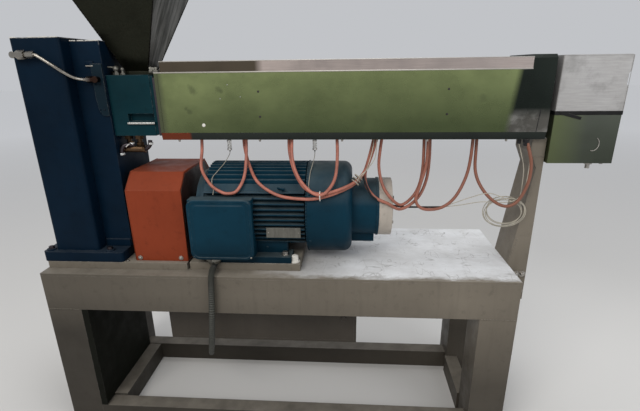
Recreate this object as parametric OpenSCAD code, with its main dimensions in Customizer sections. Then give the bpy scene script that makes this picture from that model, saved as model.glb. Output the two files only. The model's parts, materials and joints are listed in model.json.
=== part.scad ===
// Single-screw plastic extruder on a welded stand. The gearbox stands at the left end, the heated
// barrel runs from it to the right under a sheet cover, and the motor lies below the barrel.
// Millimetres, +Z up, +X from the gearbox to the die, origin on the floor under the middle.

/* [Stand] */
// Depth of the stand
stand_d = 530; // [480:1:600]
// Height of the table top above the floor
stand_h = 720; // [660:1:780]
// How far the stand's left end lies from the middle of the machine
stand_left = 1077; // [1060:1:1084]
// How far the cover reaches over the post at the stand's right end
cover_over = 59; // [50:1:65]
// Thickness of the table plate
plate_t = 10; // [6:1:16]
// Height of the beams under the table plate
beam_h = 150; // [100:1:180]
// Width of the beams
beam_w = 110; // [80:1:130]
// Width of a leg, square
leg_w = 138; // [120:1:150]
// Height of the rails on the floor
rail_h = 88; // [60:1:120]
// Height of the front bottom rail
rail_front_h = 78; // [50:1:120]
// Thickness of the left end panel
end_panel_t = 26; // [10:1:40]
// Width of the rails on the floor
rail_w = 60; // [50:1:100]

/* [Control box] */
// Length of the box that hangs under the table
box_l = 825; // [600:1:900]
// Height of the box
box_h = 380; // [300:1:420]
// Depth of the box
box_d = 200; // [150:1:260]
// How far the box starts from the stand's left end
box_from_left = 427; // [300:1:460]

/* [Drive] */
// Height of the grey rails that carry the motor and the gearbox
plinth_h = 30; // [20:1:45]
// Height of the motor's shaft over its rails
shaft_h = 180; // [170:1:200]
// How far the machine's centre plane lies in front of the stand's
axis_forward = 15; // [0:1:30]
// Radius over the motor's cooling fins
motor_r = 186; // [160:1:195]
// Length of the finned part of the motor
stator_l = 400; // [330:1:420]
// Thickness of a cooling fin
fin_t = 5; // [4:1:8]
// Distance from fin to fin
fin_pitch = 20; // [18:1:22]
// Height of a cooling fin
fin_h = 32; // [20:1:40]
// Length of the fan cowl
cowl_l = 175; // [140:1:190]
// Radius of the blower on the cowl
blower_r = 116; // [90:1:130]
// Length of the blower
blower_l = 105; // [80:1:120]
// Length of the grey ring at the blower's end
ring_l = 52; // [30:1:60]
// Width of the terminal box
terminal_w = 248; // [200:1:260]
// Height of the terminal box
terminal_h = 244; // [200:1:255]
// How far the terminal box stands out from the motor's fins
terminal_out = 24; // [20:1:30]
// Thickness of the terminal box's lid
terminal_lid_t = 12; // [8:1:18]
// Width of the coupling guard
guard_w = 214; // [180:1:225]
// Height of the coupling guard
guard_h = 352; // [330:1:365]
// Depth of the coupling guard
guard_d = 360; // [320:1:380]
// Depth of the rails under the motor
motor_base_d = 380; // [340:1:400]
// Height of the chamfer along the top of the guard
guard_chamfer = 60; // [40:1:80]

/* [Gearbox] */
// Length of the gearbox's base flange
flange_l = 330; // [310:1:345]
// Depth of the base flange
flange_d = 400; // [380:1:420]
// Thickness of the base flange
flange_t = 40; // [30:1:50]
// Width of the gearbox's tall case
case_w = 180; // [170:1:198]
// Depth of the tall case
case_d = 360; // [320:1:375]
// Height of the gearbox's top above the table
case_h = 868; // [850:1:930]
// How far the output side stays below the top of the case
output_drop = 10; // [0:1:30]
// Depth of the output side of the gearbox, which is set back
output_d = 250; // [220:1:300]

/* [Feed] */
// Height of the barrel's axis above the table
barrel_h = 636; // [630:1:645]
// Length of the feed block
feed_l = 172; // [150:1:185]
// Height of the feed block
feed_h = 220; // [200:1:230]
// Depth of the feed block
feed_d = 230; // [200:1:240]
// Width of the square throat
throat_w = 80; // [60:1:90]
// Height of the hopper
hopper_h = 440; // [380:1:445]
// How much the hopper widens on each side for each millimetre of height
hopper_slope = 0.42; // [0.3:0.01:0.42]
// Thickness of the hopper's sheet
hopper_t = 3; // [2:0.5:4]
// Width of the hopper's rim
hopper_rim_w = 20; // [12:1:21]

/* [Barrel] */
// Radius of the barrel
barrel_r = 60; // [50:1:65]
// Radius over the heater bands
band_r = 78; // [72:1:90]
// Width of a heater band
band_w = 140; // [100:1:160]
// Distance from the cover's left end to the middle of the first heater band
band_first = 136; // [110:1:150]
// Distance from the middle of the last heater band to the cover's right end
band_last = 151; // [110:1:170]
// Length of the barrel's cover
cover_l = 1325; // [1200:1:1340]
// Depth of the barrel's cover
cover_d = 240; // [220:1:250]
// Height of the cover's front panel
cover_h = 215; // [210:1:230]
// Thickness of the cover's sheet
sheet_t = 3; // [2:0.5:4]
// Height of the folded lip below the front panel
lip_h = 27; // [20:1:32]
// Height of the lid's front flange
lid_h = 38; // [25:1:45]
// How far the lid stays back from the left end of the cover
lid_inset = 24; // [0:1:60]
// Length of the dark end piece of the cover
end_l = 78; // [60:1:85]

/* [Die end] */
// Length of the box round the die
die_l = 229; // [200:1:235]
// Depth of the box round the die
die_d = 220; // [180:1:240]
// Height of the upper part of the box
die_upper_h = 186; // [150:1:190]
// Height of the lower part of the box
die_lower_h = 172; // [150:1:180]
// Width of the strap round the box
strap_h = 14; // [10:1:25]
// Width of the post under the barrel's end
post_w = 78; // [60:1:80]
// Depth of the post
post_d = 150; // [120:1:180]

/* [Cables] */
// Diameter of a heater cable
cable_t = 12; // [8:1:13]
// Diameter of the conduit to the control box
conduit_t = 24; // [18:1:28]
// Radius of the coiled sensor wire
coil_r = 62; // [50:1:70]

/* [Hidden] */
$fn = 48;

// Clearance between curved faces that meet
gap = 0.3;

// Stand
stand_x0 = -stand_left;
stand_y0 = -stand_d / 2;
stand_y1 = stand_d / 2;
beam_z = stand_h - plate_t - beam_h;
leg_h = beam_z;
mid_y = -axis_forward;
rail_rear_y = stand_y1 - 110;

// Gearbox
flange_x0 = stand_x0 - 8;
flange_y0 = mid_y - flange_d / 2;
plinth_z = stand_h + plinth_h;
case_x0 = flange_x0 + 44;
case_x1 = case_x0 + case_w;
case_y0 = mid_y - case_d / 2;
case_z0 = plinth_z + flange_t;
case_top = stand_h + case_h;

// Feed block
feed_x0 = case_x1 + 110;
feed_x1 = feed_x0 + feed_l;
barrel_z = stand_h + barrel_h;
feed_z0 = barrel_z - 116;
feed_z1 = feed_z0 + feed_h;
feed_cx = feed_x0 + feed_l / 2 - 2;

// Cover
cover_x0 = feed_x1 + 10;
cover_x1 = cover_x0 + cover_l;
cover_y0 = mid_y - cover_d / 2;
cover_y1 = mid_y + cover_d / 2;
cover_z0 = barrel_z - 105;
cover_z1 = cover_z0 + cover_h;
end_x1 = cover_x1 + end_l;
stand_x1 = end_x1 - cover_over;

// Motor
shaft_z = plinth_z + shaft_h;
guard_x0 = feed_x0 + 38;
guard_x1 = guard_x0 + guard_w;
stator_x0 = guard_x1 + 74;
stator_x1 = stator_x0 + stator_l;
cowl_x1 = stator_x1 + cowl_l;
blower_x1 = cowl_x1 + blower_l;
core_r = motor_r - fin_h;
terminal_x0 = guard_x1 + 30;
terminal_z0 = plinth_z + 26;
terminal_y0 = mid_y - motor_r - terminal_out;

// Die end
die_x0 = end_x1 + 22;
die_lower_z0 = barrel_z - 220;
die_upper_z0 = die_lower_z0 + die_lower_h + strap_h;

// Middle of a heater band
band_count = 7;
band_pitch = (cover_l - band_first - band_last) / (band_count - 1);
function band_x(i) = cover_x0 + band_first + i * band_pitch;
cap_w = 48;
cap_y0 = mid_y - 88;
cap_z = barrel_z - 94;
sensor_z = cover_z0 - lip_h - 60;
pipe_off = 22;
pipe_z = case_top - 57;
gland_x = guard_x1 + 111;
gland_z = plinth_z;
gland_r = 28;

// Pad and foot rib on the gearbox's output side
pad_w = 28;
pad_t = 5;
pad_up = 78;
foot_rib_h = 30;

// Foot, fin and web places on the motor
foot_out = 145;
foot_d = 80;
foot_t = 26;
web_out = 120;
web_d = 40;
fin_bed = 10;
side_fins = 5;
top_fins = 6;
band_angle = 51;
smooth_band_w = 36;
foot_from_left = 30;
foot_from_right = 60;

// End shield
shield_l = 34;
neck_l = 18;
motor_shaft_r = 24;

// Blower
blower_box_w = 88;
blower_box_h = 44;

// Die end and post
dent_d = 7;
dent_z = 50;
dent_h = 46;
post_neck = 24;
post_head = 50;
post_taper = 110;
post_back = 15;

// Sheet of the cover's folded lip, set back behind the panel
lip_back = 6;

// Routes of the heater cables, each from one heater band's cap to another's
route_a = [[-433, -80, 1261], [-437, -84, 1180], [-438, -110, 1110], [-390, -165, 1060],
           [-348, -182, 1036], [-317, -186, 1030], [-285, -180, 1040], [-263, -142, 1085],
           [-260, -98, 1160], [-259, -80, 1261]];
route_b = [[-272, -66, 1261], [-271, -72, 1190], [-250, -98, 1118], [-205, -160, 1065],
           [-127, -188, 1025], [-37, -196, 1014], [30, -194, 1018], [105, -180, 1040],
           [163, -130, 1060], [195, -90, 1092], [218, -72, 1165], [238, -66, 1260]];
route_c = [[-92, -80, 1261], [-93, -88, 1170], [-66, -135, 1095], [-22, -178, 1046],
           [37, -196, 1034], [112, -184, 1052], [168, -138, 1072], [203, -102, 1112],
           [228, -84, 1175], [250, -80, 1260]];
route_d = [[88, -94, 1261], [92, -108, 1160], [84, -160, 1084], [54, -204, 1044],
           [25, -216, 1036], [-14, -200, 1052], [-58, -156, 1096], [-80, -114, 1160],
           [-78, -94, 1261]];
route_e = [[266, -66, 1261], [256, -68, 1180], [252, -76, 1110], [266, -92, 1044],
           [294, -124, 1002], [338, -110, 966], [385, -84, 990], [412, -72, 1040],
           [422, -66, 1120], [418, -66, 1261]];
route_f = [[248, -52, 1260], [226, -56, 1170], [202, -70, 1096], [204, -96, 1042],
           [236, -126, 1002], [285, -136, 980], [338, -122, 953], [403, -88, 985],
           [438, -62, 1050], [447, -52, 1140], [442, -52, 1261]];
route_g = [[430, -80, 1261], [432, -82, 1130], [411, -94, 1044], [396, -106, 983],
           [427, -106, 949], [492, -104, 953], [543, -98, 991], [580, -86, 1062],
           [595, -80, 1140], [597, -80, 1261]];
route_h = [[614, -66, 1261], [616, -66, 1180], [620, -72, 1095], [640, -100, 1037],
           [680, -128, 992], [729, -134, 972], [770, -135, 996], [796, -135, 1064],
           [798, -134, 1133], [784, -130, 1187], [772, -124, 1223]];
// Route of the conduit from the terminal box's gland to the underside of the control box
box_low = 720 - plate_t - box_h;
route_conduit = [[-388, -208, 750], [-386, -222, 742], [-378, -244, 741], [-368, -266, 735],
                 [-363, -281, 716], [-364, -286, 690], [-372, -286, 632], [-384, -284, 552],
                 [-399, -272, 476], [-420, -240, box_low + 74], [-440, -205, box_low + 22],
                 [-456, -170, box_low - 25], [-470, -135, box_low - 60], [-482, -100, box_low - 68],
                 [-491, -70, box_low - 50], [-495, -52, box_low - 20], [-495, -50, box_low - 0.3]];

// Box between two corners
module block(low, high) {
    translate(low)
        cube(high - low);
}

// Box between two corners with rounded edges along Z
module round_block(low, high, r) {
    size = high - low;
    translate(low)
        linear_extrude(size.z)
            rounded_plate(size.x, size.y, r);
}

// Rectangle with round corners, made of exact arcs
module rounded_plate(w, h, r) {
    translate([r, 0])
        square([w - 2 * r, h]);
    translate([0, r])
        square([w, h - 2 * r]);
    for (x = [r, w - r], y = [r, h - r])
        translate([x, y])
            circle(r);
}

// Cylinder along X
module rod_x(x0, x1, y, z, r) {
    translate([x0, y, z])
        rotate([0, 90, 0])
            cylinder(h = x1 - x0, r = r);
}

module leg_at(x0, y0) {
    color([0.48, 0.46, 0.43])
        block([x0, y0, 0], [x0 + leg_w, y0 + leg_w, leg_h]);
}

module leg_front_left() {
    leg_at(stand_x0, stand_y0);
}

module leg_front_right() {
    leg_at(stand_x1 - leg_w, stand_y0);
}

module leg_rear_left() {
    leg_at(stand_x0, stand_y1 - leg_w);
}

module leg_rear_right() {
    leg_at(stand_x1 - leg_w, stand_y1 - leg_w);
}

module beam_front() {
    color([0.48, 0.46, 0.43])
        block([stand_x0, stand_y0, beam_z], [stand_x1, stand_y0 + beam_w, beam_z + beam_h]);
}

module beam_rear() {
    color([0.48, 0.46, 0.43])
        block([stand_x0, stand_y1 - beam_w, beam_z], [stand_x1, stand_y1, beam_z + beam_h]);
}

module end_beam(x) {
    color([0.48, 0.46, 0.43])
        block([x, stand_y0 + beam_w, beam_z], [x + beam_w, stand_y1 - beam_w, beam_z + beam_h]);
}

module beam_left() {
    end_beam(stand_x0);
}

module beam_right() {
    end_beam(stand_x1 - beam_w);
}

module table_top() {
    color([0.55, 0.53, 0.50])
        block([stand_x0, stand_y0, stand_h - plate_t], [stand_x1, stand_y1, stand_h]);
}

module rail_front() {
    color([0.48, 0.46, 0.43])
        block([stand_x0 + leg_w, stand_y0, 0], [stand_x1 - leg_w, stand_y0 + rail_w, rail_front_h]);
}

module rail_rear() {
    color([0.48, 0.46, 0.43])
        block([stand_x0 + leg_w, rail_rear_y, 0], [stand_x1 - leg_w, rail_rear_y + rail_w, rail_h]);
}

module end_rail(x, y0, y1) {
    color([0.48, 0.46, 0.43])
        block([x, y0, 0], [x + rail_w, y1, rail_h]);
}

module rail_left() {
    end_rail(stand_x0 + leg_w + end_panel_t, stand_y0 + rail_w, rail_rear_y);
}

module rail_right() {
    end_rail(stand_x1 - leg_w - 8, stand_y0 + leg_w, stand_y1 - leg_w);
}

module left_end_panel() {
    color([0.16, 0.16, 0.17])
        block([stand_x0 + leg_w, stand_y0, rail_front_h],
              [stand_x0 + leg_w + end_panel_t, rail_rear_y, leg_h]);
}

module control_box() {
    x0 = stand_x0 + box_from_left;
    color([0.42, 0.38, 0.35])
        block([x0, mid_y - box_d / 2, stand_h - plate_t - box_h],
              [x0 + box_l, mid_y + box_d / 2, stand_h - plate_t]);
}

module gearbox_plinth() {
    color([0.6, 0.58, 0.55])
        block([stand_x0 + 6, flange_y0, stand_h], [guard_x1, mid_y + flange_d / 2, plinth_z]);
}

module gearbox_case() {
    boss_r = 17;
    color([0.05, 0.12, 0.2]) {
        round_block([flange_x0, flange_y0, plinth_z],
                    [flange_x0 + flange_l, mid_y + flange_d / 2, case_z0], 14);
        round_block([case_x0, case_y0, case_z0],
                    [case_x1, case_y0 + case_d, case_top], 14);
        for (x = [flange_x0 + 24, flange_x0 + flange_l - 62], y = [flange_y0 + 24, flange_y0 + flange_d - 24])
            translate([x, y, case_z0])
                cylinder(h = 6, r = boss_r);
    }
}

module gearbox_output_side() {
    y0 = mid_y - output_d / 2;
    color([0.06, 0.13, 0.22]) {
        block([case_x1, y0, case_z0], [feed_x0, mid_y + output_d / 2, case_top - output_drop]);
        block([feed_x0 - pad_w - 10, y0 - pad_t, barrel_z - 30], [feed_x0 - 10, y0, barrel_z + pad_up]);
        block([case_x1 + 4, y0 - pad_t, case_z0], [feed_x0 - 4, y0, case_z0 + foot_rib_h]);
    }
}

// Tube swept along points, with the given number of sides
function unit(v) = v / norm(v);
function heading(p, i) =
    unit(p[min(i + 1, len(p) - 1)] - p[max(i - 1, 0)]);
function side_of(t) =
    unit(cross(abs(t.y) < 0.9 ? [0, 1, 0] : [1, 0, 0], t));
function ring(p, i, r, n) =
    let (t = heading(p, i), a = side_of(t), b = cross(t, a))
    [for (k = [0:n - 1]) p[i] + r * (cos(360 * k / n) * a + sin(360 * k / n) * b)];
function tube_faces(m, n) =
    concat([[for (k = [0:n - 1]) k]],
           [for (i = [0:m - 2], k = [0:n - 1])
               [i * n + k, (i + 1) * n + k, (i + 1) * n + (k + 1) % n, i * n + (k + 1) % n]],
           [[for (k = [n - 1:-1:0]) (m - 1) * n + k]]);
module swept_tube(p, r, n) {
    polyhedron(points = [for (i = [0:len(p) - 1]) each ring(p, i, r, n)],
               faces = tube_faces(len(p), n), convexity = 6);
}

// Points along a smooth curve through the given ones
function smooth_point(a, b, c, d, t) =
    0.5 * ((2 * b) + (c - a) * t + (2 * a - 5 * b + 4 * c - d) * t * t
           + (3 * b - a - 3 * c + d) * t * t * t);
function smooth(p, steps) =
    concat([for (i = [0:len(p) - 2], s = [0:steps - 1])
               smooth_point(p[max(i - 1, 0)], p[i], p[i + 1], p[min(i + 2, len(p) - 1)], s / steps)],
           [p[len(p) - 1]]);

// Hexagon nut along X
module hex_x(x0, x1, y, z, r) {
    translate([x0, y, z])
        rotate([0, 90, 0])
            linear_extrude(x1 - x0)
                polygon([for (k = [0:5]) [r * cos(60 * k), r * sin(60 * k)]]);
}

module oil_pipe() {
    y = case_y0 - pipe_off;
    set_back_y = mid_y - output_d / 2;
    x_end = feed_x0 - 50;
    y_end = set_back_y - 18;
    z_end = case_top - 142;
    color([0.6, 0.58, 0.55]) {
        rod_x(case_x0 + 16, case_x0 + 100, y, pipe_z, 8);
        hex_x(case_x0 + 38, case_x0 + 66, y, pipe_z, 15);
        hex_x(case_x0 + 72, case_x0 + 98, y, pipe_z, 12);
        translate([case_x0 + 26, case_y0, pipe_z])
            rotate([90, 0, 0])
                cylinder(h = pipe_off + 9, r = 11);
        swept_tube(smooth([[case_x0 + 98, y, pipe_z], [case_x0 + 112, y, pipe_z - 6],
                           [case_x0 + 157, y + 5, pipe_z - 38], [case_x1, y + 13, pipe_z - 57],
                           [case_x1 + 23, y + 33, pipe_z - 77], [x_end - 16, y_end - 8, z_end + 1],
                           [x_end, y_end, z_end]], 3), 6, 12);
        hex_x(x_end - 5, x_end + 18, y_end, z_end, 12);
        rod_x(x_end + 16, x_end + 27, y_end, z_end, 9);
        translate([x_end + 27, set_back_y, z_end])
            rotate([90, 0, 0])
                cylinder(h = set_back_y - y_end + 9, r = 11);
    }
}

module motor_base() {
    color([0.62, 0.6, 0.57])
        block([guard_x1 + 8, mid_y - motor_base_d / 2, stand_h],
              [stator_x1 - 26, mid_y + motor_base_d / 2, plinth_z]);
}

module motor_stator() {
    color([0.04, 0.16, 0.3]) {
        rod_x(stator_x0, stator_x1, mid_y, shaft_z, core_r);
        intersection() {
            rod_x(stator_x0 + 6, stator_x1 - 6, mid_y, shaft_z, motor_r);
            union() {
                for (i = [-side_fins:side_fins])
                    block([stator_x0, mid_y - motor_r, shaft_z + i * fin_pitch - fin_t / 2],
                          [stator_x1, mid_y + motor_r, shaft_z + i * fin_pitch + fin_t / 2]);
                for (i = [-top_fins:top_fins])
                    block([stator_x0, mid_y + i * fin_pitch - fin_t / 2, shaft_z],
                          [stator_x1, mid_y + i * fin_pitch + fin_t / 2, shaft_z + motor_r]);
                for (side = [-1, 1])
                    translate([stator_x0, mid_y, shaft_z])
                        rotate([side * -band_angle, 0, 0])
                            translate([0, -smooth_band_w / 2, core_r - fin_bed])
                                cube([stator_l, smooth_band_w, fin_h + fin_bed - 6]);
            }
        }
        for (side = [-1, 1]) {
            block([stator_x0 + foot_from_left, mid_y + side * foot_out - foot_d / 2, plinth_z],
                  [stator_x1 - foot_from_right, mid_y + side * foot_out + foot_d / 2, plinth_z + foot_t]);
            block([stator_x0 + foot_from_left + 20, mid_y + side * web_out - web_d / 2, plinth_z + foot_t - 6],
                  [stator_x1 - foot_from_right - 20, mid_y + side * web_out + web_d / 2, shaft_z - 60]);
        }
    }
}

module motor_end_shield() {
    shield_x0 = stator_x0 - shield_l;
    color([0.04, 0.16, 0.3]) {
        rod_x(shield_x0, stator_x0, mid_y, shaft_z, core_r - 6);
        rod_x(stator_x0 - 12, stator_x0, mid_y, shaft_z, core_r + 8);
        rod_x(shield_x0 - neck_l, shield_x0, mid_y, shaft_z, core_r / 2);
        rod_x(guard_x1, shield_x0 - neck_l, mid_y, shaft_z, motor_shaft_r);
    }
}

module fan_cowl() {
    bend_r = 34;
    color([0.04, 0.16, 0.3])
        translate([stator_x1, mid_y, shaft_z])
            rotate([0, 90, 0])
                rotate_extrude()
                    union() {
                        square([motor_r, cowl_l - bend_r]);
                        square([motor_r - bend_r, cowl_l]);
                        intersection() {
                            translate([motor_r - bend_r, cowl_l - bend_r])
                                circle(bend_r);
                            translate([motor_r - bend_r - 1, cowl_l - bend_r - 1])
                                square(bend_r + 2);
                        }
                    }
}

module blower_body() {
    rim_t = 8;
    color([0.05, 0.18, 0.3]) {
        rod_x(cowl_x1, blower_x1, mid_y, shaft_z, blower_r);
        rod_x(blower_x1 - rim_t, blower_x1, mid_y, shaft_z, blower_r + 4);
        block([cowl_x1, mid_y - blower_box_w / 2, shaft_z - blower_r - 24],
              [blower_x1 - 14, mid_y + blower_box_w / 2, shaft_z - blower_r - 24 + blower_box_h]);
    }
}

module blower_ring() {
    color([0.62, 0.6, 0.58])
        rod_x(blower_x1, blower_x1 + ring_l, mid_y, shaft_z, blower_r + 2);
}

module terminal_box() {
    color([0.05, 0.18, 0.3]) {
        difference() {
            block([terminal_x0 + 4, terminal_y0, terminal_z0 + 4],
                  [terminal_x0 + terminal_w - 4, mid_y - 150, terminal_z0 + terminal_h - 4]);
            rod_x(terminal_x0 - 1, terminal_x0 + terminal_w + 1, mid_y, shaft_z, motor_r + gap);
        }
        translate([gland_x, terminal_y0 + 17, gland_z])
            cylinder(h = terminal_z0 + 5 - gland_z, r1 = gland_r - 9, r2 = gland_r);
    }
}

module terminal_lid() {
    rim = 10;
    corner = 32;
    color([0.05, 0.18, 0.3])
        translate([terminal_x0, terminal_y0, terminal_z0])
            rotate([90, 0, 0])
                difference() {
                    linear_extrude(terminal_lid_t)
                        rounded_plate(terminal_w, terminal_h, corner);
                    translate([rim, rim, terminal_lid_t - 3])
                        linear_extrude(4)
                            rounded_plate(terminal_w - 2 * rim, terminal_h - 2 * rim, corner - rim);
                }
}

module coupling_guard() {
    y0 = mid_y - guard_d / 2;
    y1 = mid_y + guard_d / 2;
    z1 = plinth_z + guard_h;
    color([0.62, 0.25, 0.16])
        translate([guard_x0, 0, 0])
            rotate([90, 0, 90])
                linear_extrude(guard_w)
                    polygon([[y0, plinth_z], [y1, plinth_z], [y1, z1 - guard_chamfer],
                             [y1 - guard_chamfer, z1], [y0 + guard_chamfer, z1],
                             [y0, z1 - guard_chamfer]]);
}

module feed_block() {
    y0 = mid_y - feed_d / 2;
    slot_x0 = feed_x0 + 61;
    slot_l = 100;
    slot_h = 28;
    slot_z = barrel_z - 62;
    color([0.05, 0.22, 0.27]) {
        difference() {
            block([feed_x0, y0, feed_z0], [feed_x1 - 12, mid_y + feed_d / 2, feed_z1]);
            block([feed_cx - throat_w / 2, mid_y - throat_w / 2, barrel_z + 20],
                  [feed_cx + throat_w / 2, mid_y + throat_w / 2, feed_z1 + 1]);
            block([slot_x0, y0 - 1, slot_z], [slot_x0 + slot_l, y0 + 22, slot_z + slot_h]);
        }
        block([feed_x1 - 12, y0 + 3, feed_z0 + 4], [feed_x1, mid_y + feed_d / 2 - 3, feed_z1 - 4]);
        rod_x(slot_x0 - 4, slot_x0 + slot_l + 4, y0 - 4, slot_z - 7, 4.4);
    }
}

module hopper_shape(inset, extra) {
    w0 = throat_w + 2 * hopper_t - 2 * inset;
    w1 = w0 + 2 * hopper_slope * (hopper_h + 2 * extra);
    translate([feed_cx, mid_y, feed_z1 + 12 - extra])
        linear_extrude(hopper_h + 2 * extra, scale = w1 / w0)
            square(w0, center = true);
}

module hopper() {
    color([0.35, 0.35, 0.32]) {
        difference() {
            hopper_shape(0, 0);
            hopper_shape(hopper_t, 0.01);
        }
        hopper_rim();
        difference() {
            block([feed_x0 + 6, mid_y - 80, feed_z1], [feed_x1 - 6, mid_y + 80, feed_z1 + 12]);
            block([feed_cx - throat_w / 2, mid_y - throat_w / 2, feed_z1 - 1],
                  [feed_cx + throat_w / 2, mid_y + throat_w / 2, feed_z1 + 13]);
        }
    }
}

module hopper_rim() {
    w = throat_w + 2 * hopper_t + 2 * hopper_slope * hopper_h;
    z = feed_z1 + 12 + hopper_h;
    difference() {
        block([feed_cx - w / 2 - hopper_rim_w, mid_y - w / 2 - hopper_rim_w, z - hopper_t],
              [feed_cx + w / 2 + hopper_rim_w, mid_y + w / 2 + hopper_rim_w, z]);
        block([feed_cx - w / 2 + 4, mid_y - w / 2 + 4, z - hopper_t - 1],
              [feed_cx + w / 2 - 4, mid_y + w / 2 - 4, z + 1]);
    }
}

module hex_z(z0, z1, r) {
    translate([0, 0, z0])
        linear_extrude(z1 - z0)
            polygon([for (k = [0:5]) [r * cos(60 * k), r * sin(60 * k)]]);
}

module water_fittings() {
    drop = 68;
    color([0.5, 0.47, 0.42])
        for (x = [feed_x0 + 22, feed_x0 + 64])
            translate([x, mid_y - 60, feed_z0]) {
                translate([0, 0, -drop])
                    cylinder(h = drop, r = 9);
                hex_z(-20, 0, 17);
                hex_z(-56, -34, 15);
                translate([0, 0, -drop + 2])
                    cylinder(h = 8, r = 12);
            }
}

module barrel() {
    color([0.4, 0.4, 0.42])
        union() {
            rod_x(feed_x1, die_x0, mid_y, barrel_z, barrel_r);
            block([feed_x1, mid_y - feed_d / 2, feed_z0], [cover_x0, mid_y + feed_d / 2, feed_z1 - 10]);
        }
}

module heater_bands() {
    color([0.6, 0.6, 0.6])
        for (i = [0:band_count - 1])
            difference() {
                union() {
                    rod_x(band_x(i) - band_w / 2, band_x(i) + band_w / 2, mid_y, barrel_z, band_r);
                    block([band_x(i) - cap_w / 2, cap_y0, cap_z], [band_x(i) + cap_w / 2, mid_y, barrel_z]);
                }
                rod_x(band_x(i) - band_w, band_x(i) + band_w, mid_y, barrel_z, barrel_r + gap);
            }
}

module cover_front() {
    color([0.32, 0.4, 0.24]) {
        block([cover_x0, cover_y0, cover_z0], [cover_x1, cover_y0 + sheet_t, cover_z1]);
        block([cover_x0, cover_y0, cover_z0], [cover_x1, cover_y0 + lip_back + sheet_t, cover_z0 + sheet_t]);
        block([cover_x0, cover_y0 + lip_back, cover_z0 - lip_h],
              [end_x1, cover_y0 + lip_back + sheet_t, cover_z0]);
    }
}

module cover_rear() {
    color([0.32, 0.4, 0.24]) {
        block([cover_x0, cover_y1 - sheet_t, cover_z0], [cover_x1, cover_y1, cover_z1]);
        block([cover_x0, cover_y1 - lip_back - sheet_t, cover_z0], [cover_x1, cover_y1, cover_z0 + sheet_t]);
        block([cover_x0, cover_y1 - lip_back - sheet_t, cover_z0 - lip_h],
              [end_x1, cover_y1 - lip_back, cover_z0]);
    }
}

module cover_lid() {
    color([0.55, 0.5, 0.48])
        difference() {
            block([cover_x0 + lid_inset, cover_y0, cover_z1], [cover_x1, cover_y1, cover_z1 + lid_h]);
            block([cover_x0 + lid_inset + sheet_t, cover_y0 + sheet_t, cover_z1 - 1],
                  [cover_x1 - sheet_t, cover_y1 - sheet_t, cover_z1 + lid_h - sheet_t]);
        }
}

module cover_end() {
    fold = 12;
    inner_y0 = cover_y0 + lip_back + sheet_t;
    inner_y1 = cover_y1 - lip_back - sheet_t;
    low = cover_z0 - lip_h;
    top = cover_z1 + lid_h + 8;
    color([0.14, 0.16, 0.15])
        difference() {
            translate([cover_x1, 0, 0])
                rotate([90, 0, 90])
                    linear_extrude(end_l)
                        polygon([[inner_y0, low], [inner_y1, low], [inner_y1, cover_z0], [cover_y1, cover_z0],
                                 [cover_y1, top - fold], [cover_y1 - fold, top], [cover_y0 + fold, top],
                                 [cover_y0, top - fold], [cover_y0, cover_z0], [inner_y0, cover_z0]]);
            rod_x(cover_x1 - 1, end_x1 + 1, mid_y, barrel_z, barrel_r + gap);
        }
}

module front_post() {
    x1 = stand_x1 + post_w;
    top = cover_z0 - lip_h;
    color([0.48, 0.46, 0.43])
        translate([0, mid_y - post_back + post_d / 2, 0])
            rotate([90, 0, 0])
                linear_extrude(post_d)
                    polygon([[stand_x1, beam_z], [x1, beam_z], [x1, top], [x1 - post_head, top],
                             [x1 - post_head, top - post_head], [x1 - post_neck, top - post_taper],
                             [stand_x1, stand_h]]);
}

module die_part(x1, z0, z1) {
    block([die_x0, mid_y - die_d / 2, z0], [x1, mid_y + die_d / 2, z1]);
}

module die_box_upper() {
    x1 = die_x0 + die_l;
    z1 = die_upper_z0 + die_upper_h;
    bend = dent_h / 4;
    color([0.6, 0.58, 0.55])
        translate([0, mid_y + die_d / 2, 0])
            rotate([90, 0, 0])
                linear_extrude(die_d)
                    polygon([[die_x0, die_upper_z0], [x1, die_upper_z0], [x1, z1 - dent_z - dent_h - bend],
                             [x1 - dent_d, z1 - dent_z - dent_h], [x1 - dent_d, z1 - dent_z - bend],
                             [x1, z1 - dent_z], [x1, z1 - 4], [x1 - 4, z1], [die_x0, z1]]);
}

module die_box_lower() {
    color([0.35, 0.4, 0.35])
        die_part(die_x0 + die_l - 3, die_lower_z0, die_lower_z0 + die_lower_h);
}

module die_strap() {
    color([0.05, 0.05, 0.05])
        die_part(die_x0 + die_l - 1, die_lower_z0 + die_lower_h, die_upper_z0);
}

module thermocouples() {
    color([0.7, 0.7, 0.7])
        for (i = [0, 2])
            translate([band_x(i) + band_pitch / 2, mid_y, sensor_z]) {
                cylinder(h = barrel_z - barrel_r - gap - sensor_z, r = 5);
                cylinder(h = 8, r = 10);
                translate([0, 0, 8])
                    cylinder(h = 30, r = 7.5);
            }
}

module cable(route) {
    color([0.74, 0.4, 0.34])
        translate([cover_x0 + 569, mid_y + 15, barrel_z - 1356])
            swept_tube(route, cable_t / 2, 8);
}

module cable_a() {
    cable(route_a);
}

module cable_b() {
    cable(route_b);
}

module cable_c() {
    cable(route_c);
}

module cable_d() {
    cable(route_d);
}

module cable_e() {
    cable(route_e);
}

module cable_f() {
    cable(route_f);
}

module cable_g() {
    cable(route_g);
}

module cable_h() {
    cable(route_h);
}

module sensor_coil() {
    color([0.8, 0.78, 0.72])
        translate([727, -116, 946])
            rotate([90, 0, 0])
                rotate_extrude($fn = 32)
                    translate([coil_r, 0])
                        circle(9, $fn = 16);
}

module conduit() {
    color([0.35, 0.36, 0.33])
        translate([guard_x1 + 499, mid_y + 15, stand_h - 720])
            swept_tube(route_conduit, conduit_t / 2, 10);
}

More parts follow.
